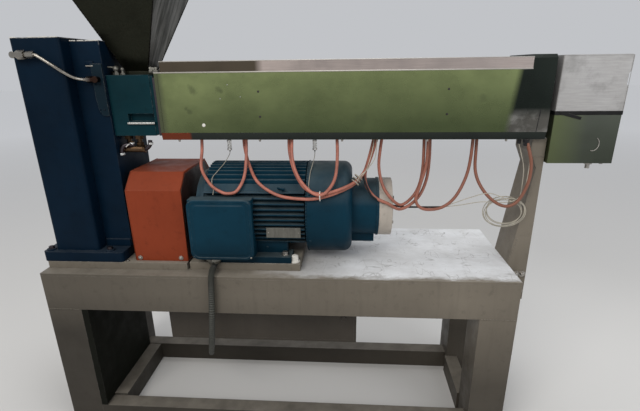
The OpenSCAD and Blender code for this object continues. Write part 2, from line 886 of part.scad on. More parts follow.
leg_front_left();
leg_front_right();
leg_rear_left();
leg_rear_right();
beam_front();
beam_rear();
beam_left();
beam_right();
table_top();
rail_front();
rail_rear();
rail_left();
rail_right();
left_end_panel();
control_box();
gearbox_plinth();
gearbox_case();
gearbox_output_side();
oil_pipe();
motor_base();
motor_stator();
motor_end_shield();
fan_cowl();
blower_body();
blower_ring();
terminal_box();
terminal_lid();
coupling_guard();
feed_block();
hopper();
water_fittings();
barrel();
heater_bands();
cover_front();
cover_rear();
cover_lid();
cover_end();
front_post();
die_box_upper();
die_box_lower();
die_strap();
thermocouples();
cable_a();
cable_b();
cable_c();
cable_d();
cable_e();
cable_f();
cable_g();
cable_h();
sensor_coil();
conduit();
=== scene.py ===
"""Looks of the plastic extruder: materials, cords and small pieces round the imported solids.

Small pieces are placed in millimetres, from the boxes of the CAD nodes that carry them.
Places inside a material, and those of the lights and the camera, are in metres.
"""
import json
import random
from collections import namedtuple
from math import cos, pi, radians, sin, sqrt

import bmesh
import bpy
from mathutils import Matrix, Vector


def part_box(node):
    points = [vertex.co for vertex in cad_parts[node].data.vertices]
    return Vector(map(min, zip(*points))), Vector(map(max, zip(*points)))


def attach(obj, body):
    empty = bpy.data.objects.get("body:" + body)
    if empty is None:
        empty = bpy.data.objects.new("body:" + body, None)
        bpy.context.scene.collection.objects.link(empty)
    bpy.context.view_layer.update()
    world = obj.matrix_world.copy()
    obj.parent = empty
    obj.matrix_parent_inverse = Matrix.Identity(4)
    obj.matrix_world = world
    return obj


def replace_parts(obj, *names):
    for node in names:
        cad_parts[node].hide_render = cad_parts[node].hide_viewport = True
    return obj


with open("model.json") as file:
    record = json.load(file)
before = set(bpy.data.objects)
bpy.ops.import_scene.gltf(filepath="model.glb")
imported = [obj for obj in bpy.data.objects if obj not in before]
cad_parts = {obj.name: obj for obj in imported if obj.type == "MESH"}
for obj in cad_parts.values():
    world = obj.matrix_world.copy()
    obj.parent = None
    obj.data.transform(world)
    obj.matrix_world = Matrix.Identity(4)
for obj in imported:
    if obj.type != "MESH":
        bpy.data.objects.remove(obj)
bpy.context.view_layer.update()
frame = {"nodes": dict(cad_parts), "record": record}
DRAWS = random.Random(7)
MM = 0.001
UP, DOWN = Vector((0, 0, 1)), Vector((0, 0, -1))
FRONT, REAR = Vector((0, -1, 0)), Vector((0, 1, 0))
RIGHT = Vector((1, 0, 0))


class Box:
    """Box of a CAD node in millimetres, from x0, y0, z0 to x1, y1, z1."""

    def __init__(self, node):
        low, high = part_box(node)
        self.x0, self.y0, self.z0 = (round(c / MM, 1) for c in low)
        self.x1, self.y1, self.z1 = (round(c / MM, 1) for c in high)


# Boxes of the nodes that carry small pieces
LEFT_LEG, RIGHT_LEG, REAR_LEG = Box("leg_front_left"), Box("leg_front_right"), Box("leg_rear_left")
BEAM, TABLE, POST = Box("beam_front"), Box("table_top"), Box("front_post")
RAIL_FRONT, RAIL_REAR, RAIL_LEFT = Box("rail_front"), Box("rail_rear"), Box("rail_left")
END_PANEL, CONTROL_BOX, PLINTH = Box("left_end_panel"), Box("control_box"), Box("gearbox_plinth")
CASE, OUTPUT = Box("gearbox_case"), Box("gearbox_output_side")
FEED, HOPPER = Box("feed_block"), Box("hopper")
STATOR, COWL, RING = Box("motor_stator"), Box("fan_cowl"), Box("blower_ring")
TERMINAL_LID, GUARD = Box("terminal_lid"), Box("coupling_guard")
COVER, LID, SENSORS = Box("cover_front"), Box("cover_lid"), Box("thermocouples")
DIE_UPPER, DIE_LOWER, STRAP = Box("die_box_upper"), Box("die_box_lower"), Box("die_strap")

# Axes and levels that several pieces share
MID_Y = (RING.y0 + RING.y1) / 2
SHAFT_Z = (RING.z0 + RING.z1) / 2
HOPPER_X = (HOPPER.x0 + HOPPER.x1) / 2
HOPPER_FOOT_Z = HOPPER.z0 + 12
LIP_TOP = COVER.z0 + 27
FEED_PIPE_Y, FEED_PIPE_Z = -98, 1184
CONDUIT_END = (-495, -50, CONTROL_BOX.z0)
BUNDLE_END = (499, -98, 955)

# Values of the materials, in metres
# Painted shade: paint darkened towards the floor and towards the left end
Dirt = namedtuple("Dirt", "low left clean_z dirty_z")
Tint = namedtuple("Tint", "color full_x none_x")


# Building blocks of the materials
def new_mat(name):
    m = bpy.data.materials.new(name)
    m.use_nodes = True
    nt = m.node_tree
    return m, nt, nt.nodes["Principled BSDF"]


def feed(node, sockets):
    """Gives sockets a number, a vector, a colour or another node's output."""
    links = node.id_data.links
    for key, v in sockets.items():
        sock = node.inputs[key]
        if isinstance(v, bpy.types.NodeSocket):
            links.new(v, sock)
        elif isinstance(v, tuple) and len(sock.default_value) > len(v):
            sock.default_value = (*v, 1)
        elif v is not None:
            sock.default_value = v


def add(nt, kind, sockets=None, **settings):
    n = nt.nodes.new("ShaderNode" + kind)
    for key, v in settings.items():
        setattr(n, key, v)
    feed(n, sockets or {})
    return n


def coords(nt, scale=(1, 1, 1)):
    tex = add(nt, "TexCoord")
    return add(nt, "Mapping", {"Vector": tex.outputs["Object"], "Scale": scale}).outputs[0]


def place(nt, axis):
    """Position along one axis."""
    return add(nt, "SeparateXYZ", {0: coords(nt)}).outputs[axis]


def facing(nt, axis):
    """Facing along one axis, from -1 to 1."""
    normal = add(nt, "NewGeometry").outputs["Normal"]
    return add(nt, "SeparateXYZ", {0: normal}).outputs[axis]


def noise(nt, scale, detail=4, stretch=(1, 1, 1), rough=0.55):
    sockets = {"Vector": coords(nt, stretch), "Scale": scale, "Detail": detail, "Roughness": rough}
    return add(nt, "TexNoise", sockets).outputs["Fac"]


def ramp(fac, stops):
    """Grey ramp through pairs of position and value."""
    r = add(fac.id_data, "ValToRGB", {"Fac": fac})
    ends = r.color_ramp.elements
    for end, (pos, value) in ((ends[0], stops[0]), (ends[1], stops[-1])):
        end.position = pos
        end.color = (value, value, value, 1)
    for pos, value in stops[1:-1]:
        ends.new(pos).color = (value, value, value, 1)
    return r.outputs["Color"]


def fade(fac, low, high):
    return ramp(fac, [(low, 0.0), (high, 1.0)])


def between(value, low, high):
    """0 at low, 1 at high."""
    return add(value.id_data, "MapRange", {"Value": value, "From Min": low, "From Max": high}).outputs[0]


def mix(fac, a, b):
    return add(fac.id_data, "Mix", {0: fac, 6: a, 7: b}, data_type="RGBA").outputs[2]


def math_node(op, a, b, clamp=False):
    nt = (b if isinstance(a, float) else a).id_data
    return add(nt, "Math", {0: a, 1: b}, operation=op, use_clamp=clamp).outputs[0]


def times(product, *factors):
    for factor in factors:
        product = math_node("MULTIPLY", product, factor)
    return product


def plus(a, b, clamp=False):
    return math_node("ADD", a, b, clamp)


def edge_mask(nt, radius):
    """The rounded normal, and 1 along the edges and 0 on the flats."""
    soft = add(nt, "Bevel", {"Radius": radius}, samples=4).outputs["Normal"]
    flat = add(nt, "NewGeometry").outputs["Normal"]
    dot = add(nt, "VectorMath", {0: soft, 1: flat}, operation="DOT_PRODUCT").outputs["Value"]
    return soft, math_node("SUBTRACT", 1.0, dot, True)


def bump(height, strength, dist, normal=None):
    sockets = {"Height": height, "Strength": strength, "Distance": dist, "Normal": normal}
    return add(height.id_data, "Bump", sockets).outputs["Normal"]


def shade(color, factor):
    return tuple(min(1, c * factor) for c in color)


def tinted(nt, col, tint):
    """Another colour from one place along X on."""
    return mix(between(place(nt, "X"), tint.none_x, tint.full_x), col, tint.color)


# Layers of the paints
def stained(nt, col, color, grime):
    """Dark spots, and streaks that run down."""
    spots = fade(noise(nt, 26.0, 6, rough=0.7), 0.55, 0.72)
    col = mix(times(spots, grime), col, shade(color, 0.45))
    streak = fade(noise(nt, 9.0, 4, (6, 6, 0.5)), 0.52, 0.75)
    return mix(times(streak, grime * 0.6), col, shade(color, 0.6))


def painted_shade(nt, col, color, big, dirt):
    """Painted shade that grows downwards and towards the left end."""
    lit_x, shaded_x = 0.55, -0.95
    low = times(between(place(nt, "Z"), dirt.clean_z, dirt.dirty_z), dirt.low)
    left = times(between(place(nt, "X"), lit_x, shaded_x), dirt.left)
    both = times(plus(low, left, True), ramp(big, [(0.2, 0.8), (0.8, 1.0)]))
    return mix(both, col, shade(color, 0.16))


def dust_and_top_light(nt, col, top_dust_and_light, top_dust_and_light_color, up):
    """Dust, and painted light on the tops, on what faces up, from up[0] on and fully at up[1]."""
    patches = ramp(noise(nt, 14.0, 5), [(0.25, 0.35), (0.75, 1.0)])
    return mix(times(fade(facing(nt, "Z"), *up), patches, top_dust_and_light), col, top_dust_and_light_color)


def worn(nt, col, edges, wear, wear_color, wear_above):
    """Paint chipped off along the edges, mostly above a height where one is given."""
    chips = fade(noise(nt, 55.0, 5, rough=0.7), 0.42, 0.6)
    mask = times(fade(edges, 0.02, 0.12), chips, wear)
    if wear_above:
        high = plus(times(between(place(nt, "Z"), *wear_above), 0.97), 0.03)
        mask = times(mask, high)
    return mix(mask, col, wear_color)


def lit_bare_table(nt, col, bare, scratch=(0.3, 0.29, 0.28), speck=(0.2, 0.19, 0.18)):
    """Painted pool of light on the table's right half, over a bare, scratched patch with a ragged edge."""
    start_x, full_x = -0.25, 0.15
    front_y, top_z = TABLE.y0 * MM, TABLE.z0 * MM
    right = between(place(nt, "X"), start_x, full_x)
    ragged = plus(place(nt, "Y"), times(noise(nt, 16.0, 6, (0.5, 1, 1), 0.7), 0.13))
    inner = between(ragged, front_y + 0.07, front_y + 0.105)
    upper = between(place(nt, "Z"), top_z - 0.02, top_z)
    blotches = ramp(noise(nt, 7.0, 7, (1, 1.6, 1), 0.7), [(0.3, 0.72), (0.62, 1.0)])
    bright = times(right, fade(facing(nt, "Z"), 0.6, 0.95), inner, upper, blotches)
    col = mix(bright, col, bare)
    for stretch in ((1, 7, 1), (5, 1.3, 1), (2.2, 2.6, 1)):
        line = ramp(noise(nt, 4.0, 2, stretch, 0.5), [(0.488, 0.0), (0.5, 1.0), (0.512, 0.0)])
        line = times(line, ramp(noise(nt, 11.0, 3), [(0.48, 0.0), (0.58, 0.75)]))
        col = mix(times(line, bright), col, scratch)
    specks = ramp(noise(nt, 75.0, 3, rough=0.6), [(0.68, 0.0), (0.72, 0.7)])
    return mix(times(specks, bright), col, speck)


def paint(name, color, rough=0.5, vary=0.2, top_dust_and_light=0.2, top_dust_and_light_color=(0.45, 0.42, 0.38), wear=0.4,
        wear_color=(0.5, 0.48, 0.45), grime=0.4, edge=0.0025, spec=0.2, wear_above=None, dirt=None,
        lit_bare_top=None, up=(0.6, 0.95)):
    m, nt, b = new_mat(name)
    rounded, edges = edge_mask(nt, edge)
    big = noise(nt, 3.0, 5)
    col = mix(fade(big, 0.3, 0.7), shade(color, 1 - vary), shade(color, 1 + vary))
    col = stained(nt, col, color, grime)
    # Painted shade, darker downwards and towards the left end
    if dirt:
        col = painted_shade(nt, col, color, big, dirt)
    # Dust, and painted light on the tops
    col = dust_and_top_light(nt, col, top_dust_and_light, top_dust_and_light_color, up)
    col = worn(nt, col, edges, wear, wear_color, wear_above)
    # Painted pool of light on the table, over a bare, scratched patch
    if lit_bare_top:
        col = lit_bare_table(nt, col, lit_bare_top)
    matt = ramp(noise(nt, 18.0, 5), [(0.3, max(0.02, rough - 0.12)), (0.7, min(1, rough + 0.14))])
    relief = bump(noise(nt, 120.0, 3), 0.08, 0.002, rounded)
    feed(b, {"Base Color": col, "Roughness": matt, "Specular IOR Level": spec, "Normal": relief})
    return m


def metal(name, color, rough=0.4, brush=(1, 1, 1), vary=0.2, spots=0.3, spot_color=None, bumpy=0.04,
        metallic=1.0, tint=None, lit_right_face=None):
    """Brushed, stained metal; the colour given for what faces right is painted light, with streaks of painted
    highlight.
    """
    m, nt, b = new_mat(name)
    rounded, _ = edge_mask(nt, 0.0015)
    line = noise(nt, 18.0, 5, brush)
    col = mix(fade(line, 0.3, 0.7), shade(color, 1 - vary), shade(color, 1 + vary))
    stain = fade(noise(nt, 12.0, 6, rough=0.7), 0.52, 0.7)
    col = mix(times(stain, spots), col, spot_color or shade(color, 0.5))
    if tint:
        col = tinted(nt, col, tint)
    if lit_right_face:
        highlight_streaks = ramp(noise(nt, 14.0, 5, (0.3, 2.4, 0.25), 0.6), [(0.42, 0.12), (0.62, 1.0)])
        col = mix(times(between(facing(nt, "X"), 0.3, 0.7), highlight_streaks), col, lit_right_face)
    matt = ramp(noise(nt, 9.0, 6, rough=0.65), [(0.3, max(0.03, rough - 0.08)), (0.72, min(1, rough + 0.16))])
    relief = bump(line, bumpy, 0.004, rounded)
    feed(b, {"Base Color": col, "Roughness": matt, "Metallic": metallic, "Normal": relief})
    return m


def blob(nt, middle, radius):
    """1 at the middle, 0 outside the radius, with a ragged edge."""
    ends = {0: add(nt, "TexCoord").outputs["Object"], 1: middle}
    dist = add(nt, "VectorMath", ends, operation="DISTANCE")
    wobble = times(math_node("SUBTRACT", noise(nt, 60.0, 4), 0.5), radius * 1.6)
    return between(plus(dist.outputs["Value"], wobble), radius, radius * 0.35)


def dark_right_end(nt, col, x, z, swirl):
    """Painted reflection: dark right end of the cover, pale and blotched at its foot, behind a slanting edge.
    """
    lean, edge_x, edge_w = -0.13, 0.675, 0.025
    pale_z, dark_z = 1.3, 1.335
    edge = plus(x, times(math_node("SUBTRACT", z, LIP_TOP * MM), lean))
    edge = plus(edge, times(swirl, 0.06))
    blotch = fade(noise(nt, 11.0, 6, (1, 1, 1.4), 0.6), 0.46, 0.66)
    pale = mix(blotch, (0.1, 0.095, 0.083), (0.27, 0.262, 0.24))
    grey = mix(between(z, pale_z, dark_z), pale, (0.011, 0.015, 0.012))
    return mix(between(edge, edge_x, edge_x + edge_w), col, grey)


def polished_sheet(name, top, bottom, low, high, dark_end=False, tint=None, rough=(0.2, 0.42), smudges=(),
        lift=None):
    """Sheet toned from bottom to top colour between two heights, a painted reflection; lift raises the tone
    along X.
    """
    m, nt, b = new_mat(name)
    rounded, _ = edge_mask(nt, 0.0015)
    x, z = place(nt, "X"), place(nt, "Z")
    swirl = math_node("SUBTRACT", noise(nt, 2.2, 3, (1, 1, 0.6)), 0.5)
    level = plus(between(z, low, high), swirl, True)
    if lift:
        level = plus(level, times(between(x, *lift), 0.5), True)
    col = mix(level, bottom, top)
    smear = fade(noise(nt, 5.0, 7, (1, 1, 1.8), 0.65), 0.45, 0.7)
    col = mix(times(smear, 0.35), col, shade(bottom, 0.75))
    if tint:
        col = tinted(nt, col, tint)
    for smudge_x, smudge_z, radius, strength in smudges:
        mark = blob(nt, (smudge_x, COVER.y0 * MM, smudge_z), radius)
        col = mix(times(mark, strength), col, (0.05, 0.06, 0.035))
    if dark_end:
        col = dark_right_end(nt, col, x, z, swirl)
    matt = ramp(noise(nt, 6.0, 7, rough=0.7), [(0.3, rough[0]), (0.7, rough[1])])
    relief = bump(noise(nt, 2.5, 3), 0.25, 0.01, rounded)
    feed(b, {"Base Color": col, "Roughness": matt, "Metallic": 0.85, "Normal": relief})
    return m


def sleeve(name, color, ribs=0.0, tint=None):
    """Woven sleeve, or one with ribs across its length."""
    m, nt, b = new_mat(name)
    col = mix(fade(noise(nt, 30.0, 4), 0.3, 0.7), shade(color, 0.72), shade(color, 1.2))
    if tint:
        col = tinted(nt, col, tint)
    if ribs:
        along = add(nt, "TexCoord").outputs["UV"]
        wave = add(nt, "TexWave", {"Vector": along, "Scale": ribs, "Distortion": 0.0}, wave_type="BANDS",
            bands_direction="X").outputs["Fac"]
        relief = bump(wave, 0.9, 0.004)
        # The grooves between the ribs are darkened: painted shade
        col = mix(ramp(wave, [(0.25, 1.0), (0.6, 0.0)]), col, shade(color, 0.3))
    else:
        relief = bump(noise(nt, 400.0, 2), 0.25, 0.001)
    feed(b, {"Base Color": col, "Roughness": 0.55, "Normal": relief})
    return m


# Looks of the paints
PAINTS = {
    # The stand's colour is darkened as painted shade
    "frame_paint": dict(color=(0.156, 0.135, 0.106), vary=0.12, top_dust_and_light=0.45, top_dust_and_light_color=(0.36, 0.325, 0.27),
        # painted shade, darker downwards and towards the left end
        wear_color=(0.3, 0.28, 0.25), dirt=Dirt(low=0.78, left=0.62, clean_z=0.64, dirty_z=0.25),
        # painted pool of light on the table's right half, over bare, scratched paint
        lit_bare_top=(0.72, 0.73, 0.74)),
    "rail_paint": dict(color=(0.146, 0.127, 0.1), vary=0.15, top_dust_and_light=0.5, top_dust_and_light_color=(0.34, 0.31, 0.26),
        wear=0.5, grime=0.45),
    # Near black: painted shade on the stand's left end panel
    "dark_panel": dict(color=(0.006, 0.0065, 0.0045), rough=0.6, top_dust_and_light=0.05, wear=0.1, grime=0.2, spec=0.06),
    # Darkened as painted shade, for the box under the table
    "box_paint": dict(color=(0.046, 0.039, 0.031), vary=0.15, top_dust_and_light=0.3, wear=0.35, grime=0.3),
    "navy_paint": dict(color=(0.0018, 0.009, 0.02), rough=0.42, vary=0.3, top_dust_and_light_color=(0.12, 0.14, 0.16),
        wear=0.95, wear_color=(0.72, 0.7, 0.66), edge=0.006, spec=0.06, wear_above=(1.56, 1.575)),
    "motor_paint": dict(color=(0.0026, 0.025, 0.043), rough=0.42, vary=0.25, top_dust_and_light=0.75,
        top_dust_and_light_color=(0.095, 0.115, 0.115), wear=0.35, wear_color=(0.14, 0.18, 0.2), spec=0.08,
        # painted shadow, darker towards the motor's foot
        dirt=Dirt(low=0.6, left=0.0, clean_z=0.86, dirty_z=0.77), up=(0.3, 1.0)),
    "ring_metal": dict(color=(0.37, 0.33, 0.285), top_dust_and_light=0.3, grime=0.5),
    "guard_paint": dict(color=(0.178, 0.031, 0.011), vary=0.15, top_dust_and_light=0.42, top_dust_and_light_color=(0.25, 0.08, 0.045),
        wear=0.7, wear_color=(0.3, 0.14, 0.09), spec=0.12),
    # Near black: painted shade for the guard's open end
    "guard_dark": dict(color=(0.02, 0.007, 0.005), wear=0.2, grime=0.3),
    "teal_paint": dict(color=(0.002, 0.0205, 0.027), rough=0.42, vary=0.25, top_dust_and_light_color=(0.12, 0.16, 0.17),
        wear_color=(0.2, 0.24, 0.24), spec=0.08),
    "pad_paint": dict(color=(0.0035, 0.0125, 0.02), rough=0.45, vary=0.3, wear=0.3, grime=0.3, spec=0.1),
    "strap_rubber": dict(color=(0.006, 0.006, 0.006), rough=0.6, wear=0.1, grime=0.3),
    "black_plastic": dict(color=(0.012, 0.012, 0.013), rough=0.45, wear=0.1, grime=0.3),
    "white_plastic": dict(color=(0.62, 0.6, 0.55), rough=0.45, vary=0.08, top_dust_and_light=0.1, wear=0.0, grime=0.1),
}

# Looks of the bare metals
METALS = {
    "pipe_steel": dict(color=(0.3, 0.28, 0.245), rough=0.2, spots=0.5, spot_color=(0.1, 0.065, 0.04),
        tint=Tint((0.045, 0.024, 0.017), -0.788, -0.815)),
    "fitting_brass": dict(color=(0.1, 0.062, 0.036), vary=0.3, spots=0.6, spot_color=(0.055, 0.036, 0.026)),
    "dark_stainless": dict(color=(0.024, 0.025, 0.018), brush=(30, 30, 0.6), vary=0.35, bumpy=0.05,
        # painted light on the hopper's right face, with painted highlight streaks
        lit_right_face=(0.17, 0.165, 0.15)),
    "barrel_steel": dict(color=(0.06, 0.052, 0.058), rough=0.5, brush=(1, 40, 40), spots=0.4),
    "band_mica": dict(color=(0.45, 0.43, 0.40), rough=0.35, brush=(1, 1, 20)),
    "lid_brushed": dict(color=(0.38, 0.325, 0.30), brush=(0.5, 30, 30), vary=0.12,
        spot_color=(0.25, 0.22, 0.2), tint=Tint((0.073, 0.06, 0.044), -0.2, -0.17)),
    "die_aluminium": dict(color=(0.365, 0.355, 0.345), rough=0.48, brush=(1.0, 3, 12), vary=0.09, spots=0.6,
        spot_color=(0.215, 0.21, 0.2), metallic=0.6),
    # Pale as a painted highlight on hems and edges
    "hem_bright": dict(color=(0.5, 0.47, 0.43), rough=0.5, brush=(0.5, 1, 1), vary=0.1, spots=0.2,
        metallic=0.35),
    "weld_dark": dict(color=(0.012, 0.011, 0.009), brush=(1, 1, 30), vary=0.35),
    "sensor_chrome": dict(color=(0.78, 0.78, 0.75), rough=0.2, vary=0.1, spots=0.2),
    "plate_dull": dict(color=(0.17, 0.165, 0.145), rough=0.5, brush=(8, 1, 1), spots=0.5),
    "plate_bare": dict(color=(0.42, 0.42, 0.40), rough=0.35, brush=(8, 1, 1), vary=0.15),
    "bolt_steel": dict(color=(0.36, 0.34, 0.31), rough=0.35, spots=0.5, spot_color=(0.16, 0.12, 0.08)),
}

# Looks of the polished sheets, which carry a plain tone in place of what they mirror
SHEETS = {
    "cover_polished": dict(top=(0.222, 0.26, 0.112), bottom=(0.084, 0.107, 0.046), low=LIP_TOP * MM,
        high=COVER.z1 * MM, dark_end=True, lift=(-0.3, -0.54), tint=Tint((0.1, 0.113, 0.062), -0.558, -0.536),
        smudges=((-0.430, 1.402, 0.017, 0.38), (-0.441, 1.413, 0.012, 0.3), (-0.338, 1.405, 0.015, 0.35),
        (-0.326, 1.398, 0.009, 0.3), (-0.464, 1.339, 0.010, 0.38), (-0.452, 1.328, 0.013, 0.36),
        (0.6, 1.37, 0.02, 0.25), (0.18, 1.30, 0.03, 0.2))),
    "end_polished": dict(top=(0.012, 0.016, 0.012), bottom=(0.012, 0.015, 0.012), low=LIP_TOP * MM, high=1.5,
        dark_end=True),
    "die_polished": dict(top=(0.074, 0.082, 0.065), bottom=(0.057, 0.065, 0.049), low=DIE_LOWER.z0 * MM,
        high=DIE_LOWER.z1 * MM, rough=(0.25, 0.45), tint=Tint((0.108, 0.128, 0.062), 0.865, 0.975)),
    "lip_mirror": dict(top=(0.03, 0.036, 0.032), bottom=(0.018, 0.022, 0.02), low=COVER.z0 * MM,
        high=LIP_TOP * MM, rough=(0.16, 0.3), tint=Tint((0.15, 0.034, 0.016), -0.462, -0.452)),
}

# Looks of the sleeves
SLEEVES = {
    "cable_sleeve": dict(color=(0.37, 0.125, 0.085), tint=Tint((0.19, 0.07, 0.04), 0.7, -0.05)),
    "wire_white": dict(color=(0.37, 0.34, 0.275)),
    "conduit_grey": dict(color=(0.05, 0.052, 0.04), ribs=38.0),
}

MATERIALS = {}
for make, looks in ((paint, PAINTS), (metal, METALS), (polished_sheet, SHEETS), (sleeve, SLEEVES)):
    for name, look in looks.items():
        MATERIALS[name] = make(name, **look)

SLOT_OF = {row["node"]: row["material_slot"] for row in frame["record"]["subparts"]}
for node, obj in frame["nodes"].items():
    for s in obj.material_slots:
        s.material = MATERIALS[SLOT_OF[node]]


# Building blocks of the shapes
def new_obj(name, data):
    o = bpy.data.objects.new(name, data)
    bpy.context.collection.objects.link(o)
    return o


def new_piece(name, data, mat):
    """Piece of the machine, which rides on its one body."""
    o = new_obj(name, data)
    data.materials.append(MATERIALS[mat])
    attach(o, "root")
    return o


def new_mesh(name, bm):
    me = bpy.data.meshes.new(name)
    bm.to_mesh(me)
    bm.free()
    return me


def piece(name, bm, mat, smooth=False):
    me = new_mesh(name, bm)
    for p in me.polygons:
        p.use_smooth = smooth
    return new_piece(name, me, mat)


def bevel(bm, edges, width, segments=2):
    bmesh.ops.bevel(bm, geom=list(edges), offset=width * MM, segments=segments, affect="EDGES", profile=0.5)


def block(bm, low, high, bev=0.0):
    low, high = Vector(low) * MM, Vector(high) * MM
    at = Matrix.Translation((low + high) / 2) @ Matrix.Diagonal((*(high - low), 1))
    r = bmesh.ops.create_cube(bm, size=1.0, matrix=at)
    if bev:
        bevel(bm, {e for v in r["verts"] for e in v.link_edges}, bev)


def rod(bm, a, b, r, n=24, r2=None):
    """Cylinder from a to b, or a cone that ends with radius r2."""
    a, b = Vector(a) * MM, Vector(b) * MM
    r2 = r if r2 is None else r2
    at = Matrix.Translation((a + b) / 2) @ (b - a).to_track_quat("Z", "Y").to_matrix().to_4x4()
    bmesh.ops.create_cone(bm, cap_ends=True, segments=n, radius1=r * MM, radius2=r2 * MM,
        depth=(b - a).length, matrix=at)


def ball(bm, c, r, n=12):
    bmesh.ops.create_uvsphere(bm, u_segments=n, v_segments=n // 2 + 2, radius=r * MM,
        matrix=Matrix.Translation(Vector(c) * MM))


def turned(bm, base, direction, *steps):
    """Cylinders one on the other, by height, radius and sides; a cone also has an end radius."""
    a = Vector(base)
    for height, r, n, *end in steps:
        b = a + direction * height
        rod(bm, a, b, r, n, *end)
        a = b


def extrude(bm, outline, low, high, axis="Z", bev=0.0):
    """Outline drawn out along an axis."""
    def at(u, v, w):
        return {"Z": (u, v, w), "Y": (u, w, v), "X": (w, u, v)}[axis]
    ring0 = [bm.verts.new(Vector(at(u, v, low)) * MM) for u, v in outline]
    ring1 = [bm.verts.new(Vector(at(u, v, high)) * MM) for u, v in outline]
    faces = [bm.faces.new(ring0), bm.faces.new(list(reversed(ring1)))]
    n = len(outline)
    for i in range(n):
        faces.append(bm.faces.new((ring0[(i + 1) % n], ring0[i], ring1[i], ring1[(i + 1) % n])))
    bmesh.ops.recalc_face_normals(bm, faces=faces)
    if bev:
        bevel(bm, {e for f in faces for e in f.edges}, bev)


def rounded_outline(x0, y0, x1, y1, r, n=5):
    corners = ((x1 - r, y1 - r, 0), (x0 + r, y1 - r, 90), (x0 + r, y0 + r, 180), (x1 - r, y0 + r, 270))
    pts = []
    for cx, cy, a0 in corners:
        for i in range(n + 1):
            a = radians(a0 + 90 * i / n)
            pts.append((cx + r * cos(a), cy + r * sin(a)))
    return pts


def rods(name, runs, mat, smooth=False):
    """Rods, each given by its ends, radius and sides."""
    bm = bmesh.new()
    for run in runs:
        rod(bm, *run)
    return piece(name, bm, mat, smooth)


def boxes(name, spans, mat, bev=0.0):
    """Boxes, each given by two corners."""
    bm = bmesh.new()
    for low, high in spans:
        block(bm, low, high, bev)
    return piece(name, bm, mat)


def prism(name, outline, low, high, axis, mat, bev=0.0):
    bm = bmesh.new()
    extrude(bm, outline, low, high, axis, bev)
    return piece(name, bm, mat)


def bolts(name, places, direction, r, h, mat="bolt_steel", washer=0.0):
    """Hexagon heads with a chamfer, on washers where their radius is given."""
    washer_t = 2.5
    bm = bmesh.new()
    for base in places:
        a = Vector(base)
        if washer:
            rod(bm, a, a + direction * washer_t, washer, 20)
            a = a + direction * washer_t
        turned(bm, a, direction, (h, r, 6), (1.2, r * 0.82, 12, r * 0.6))
    return piece(name, bm, mat)


def screws(name, places, direction, r, h, mat="bolt_steel"):
    return rods(name, [(p, Vector(p) + direction * h, r, 20, r * 0.75) for p in places], mat)


def smooth_path(pts, steps):
    """Smooth curve through points, in steps between each two."""
    p = [Vector(q) * MM for q in pts]
    out = []
    for i in range(len(p) - 1):
        a, b, c, d = p[max(i - 1, 0)], p[i], p[i + 1], p[min(i + 2, len(p) - 1)]
        for s in range(steps):
            t = s / steps
            out.append(0.5 * (2 * b + (c - a) * t + (2 * a - 5 * b + 4 * c - d) * t ** 2
                + (3 * b - a - 3 * c + d) * t ** 3))
    out.append(p[-1])
    return out


def tube(name, pts, r, mat, res=4, steps=8):
    """Round curve piece through points; also gives its centre line in metres."""
    c = bpy.data.curves.new(name, "CURVE")
    c.dimensions = "3D"
    c.bevel_depth = r * MM
    c.bevel_resolution = res
    c.use_fill_caps = True
    dense = smooth_path(pts, steps)
    sp = c.splines.new("POLY")
    sp.points.add(len(dense) - 1)
    for q, p in zip(sp.points, dense):
        q.co = (*p, 1)
    sp.use_smooth = True
    return new_piece(name, c, mat), dense


def skin(bm, rows):
    """Joins each ring of vertices to the next."""
    for p, q in zip(rows, rows[1:]):
        for i in range(len(p)):
            j = (i + 1) % len(p)
            bm.faces.new((p[i], p[j], q[j], q[i]))


def loop(name, c, normal, ra, rb, r, mat, n=28):
    """Elliptic loop of round section; ra across, rb up."""
    bm = bmesh.new()
    d = Vector(normal).normalized()
    u = d.cross(UP).normalized()
    v = u.cross(d)
    rows = []
    for i in range(n):
        a = 2 * pi * i / n
        mid = Vector(c) + u * ra * cos(a) + v * rb * sin(a)
        out = (u * cos(a) + v * sin(a)).normalized()
        rows.append([bm.verts.new((mid + (out * cos(b) + d * sin(b)) * r) * MM)
            for b in (2 * pi * k / 8 for k in range(8))])
    skin(bm, rows + rows[:1])
    bmesh.ops.recalc_face_normals(bm, faces=bm.faces)
    return piece(name, bm, mat, smooth=True)


def hoop(x, radius, wire, n, sides):
    """Rods of a ring round the motor's axis."""
    def at(k):
        a = 2 * pi * k / n
        return (x, MID_Y + radius * cos(a), SHAFT_Z + radius * sin(a))
    return [(at(k), at(k + 1), wire, sides) for k in range(n)]


def weld(name, runs, r=2.6):
    """Bead along each run, in short lengths of uneven thickness."""
    bead_l = 11
    bm = bmesh.new()
    for a, b in runs:
        a, b = Vector(a), Vector(b)
        n = max(2, int((b - a).length / bead_l))
        for k in range(n):
            rod(bm, a.lerp(b, k / n), a.lerp(b, (k + 1) / n), r * (0.85 + 0.4 * DRAWS.random()), 8, r * 0.8)
    return piece(name, bm, "frame_paint", smooth=True)


# Camera, fitted to the photo's vanishing points
def set_camera(place_m=(0.129, -1.6645, 1.480), yaw=3.874, pitch=18.436, roll=-0.731, lens=23.42, sensor=36):
    yaw, pitch, roll = (radians(a) for a in (yaw, pitch, roll))
    fwd = Vector((-sin(yaw) * cos(pitch), cos(yaw) * cos(pitch), -sin(pitch)))
    right0 = Vector((cos(yaw), sin(yaw), 0))
    up0 = right0.cross(fwd)
    right = cos(roll) * right0 + sin(roll) * up0
    up = -sin(roll) * right0 + cos(roll) * up0
    cam = bpy.data.cameras.new("camera")
    cam.lens = lens
    cam.sensor_width = sensor
    cam.sensor_fit = "HORIZONTAL"
    cam.clip_start = 0.05
    obj = new_obj("camera", cam)
    rows = [(right[i], up[i], -fwd[i], place_m[i]) for i in range(3)]
    obj.matrix_world = Matrix((*rows, (0, 0, 0, 1)))
    bpy.context.scene.camera = obj


set_camera()
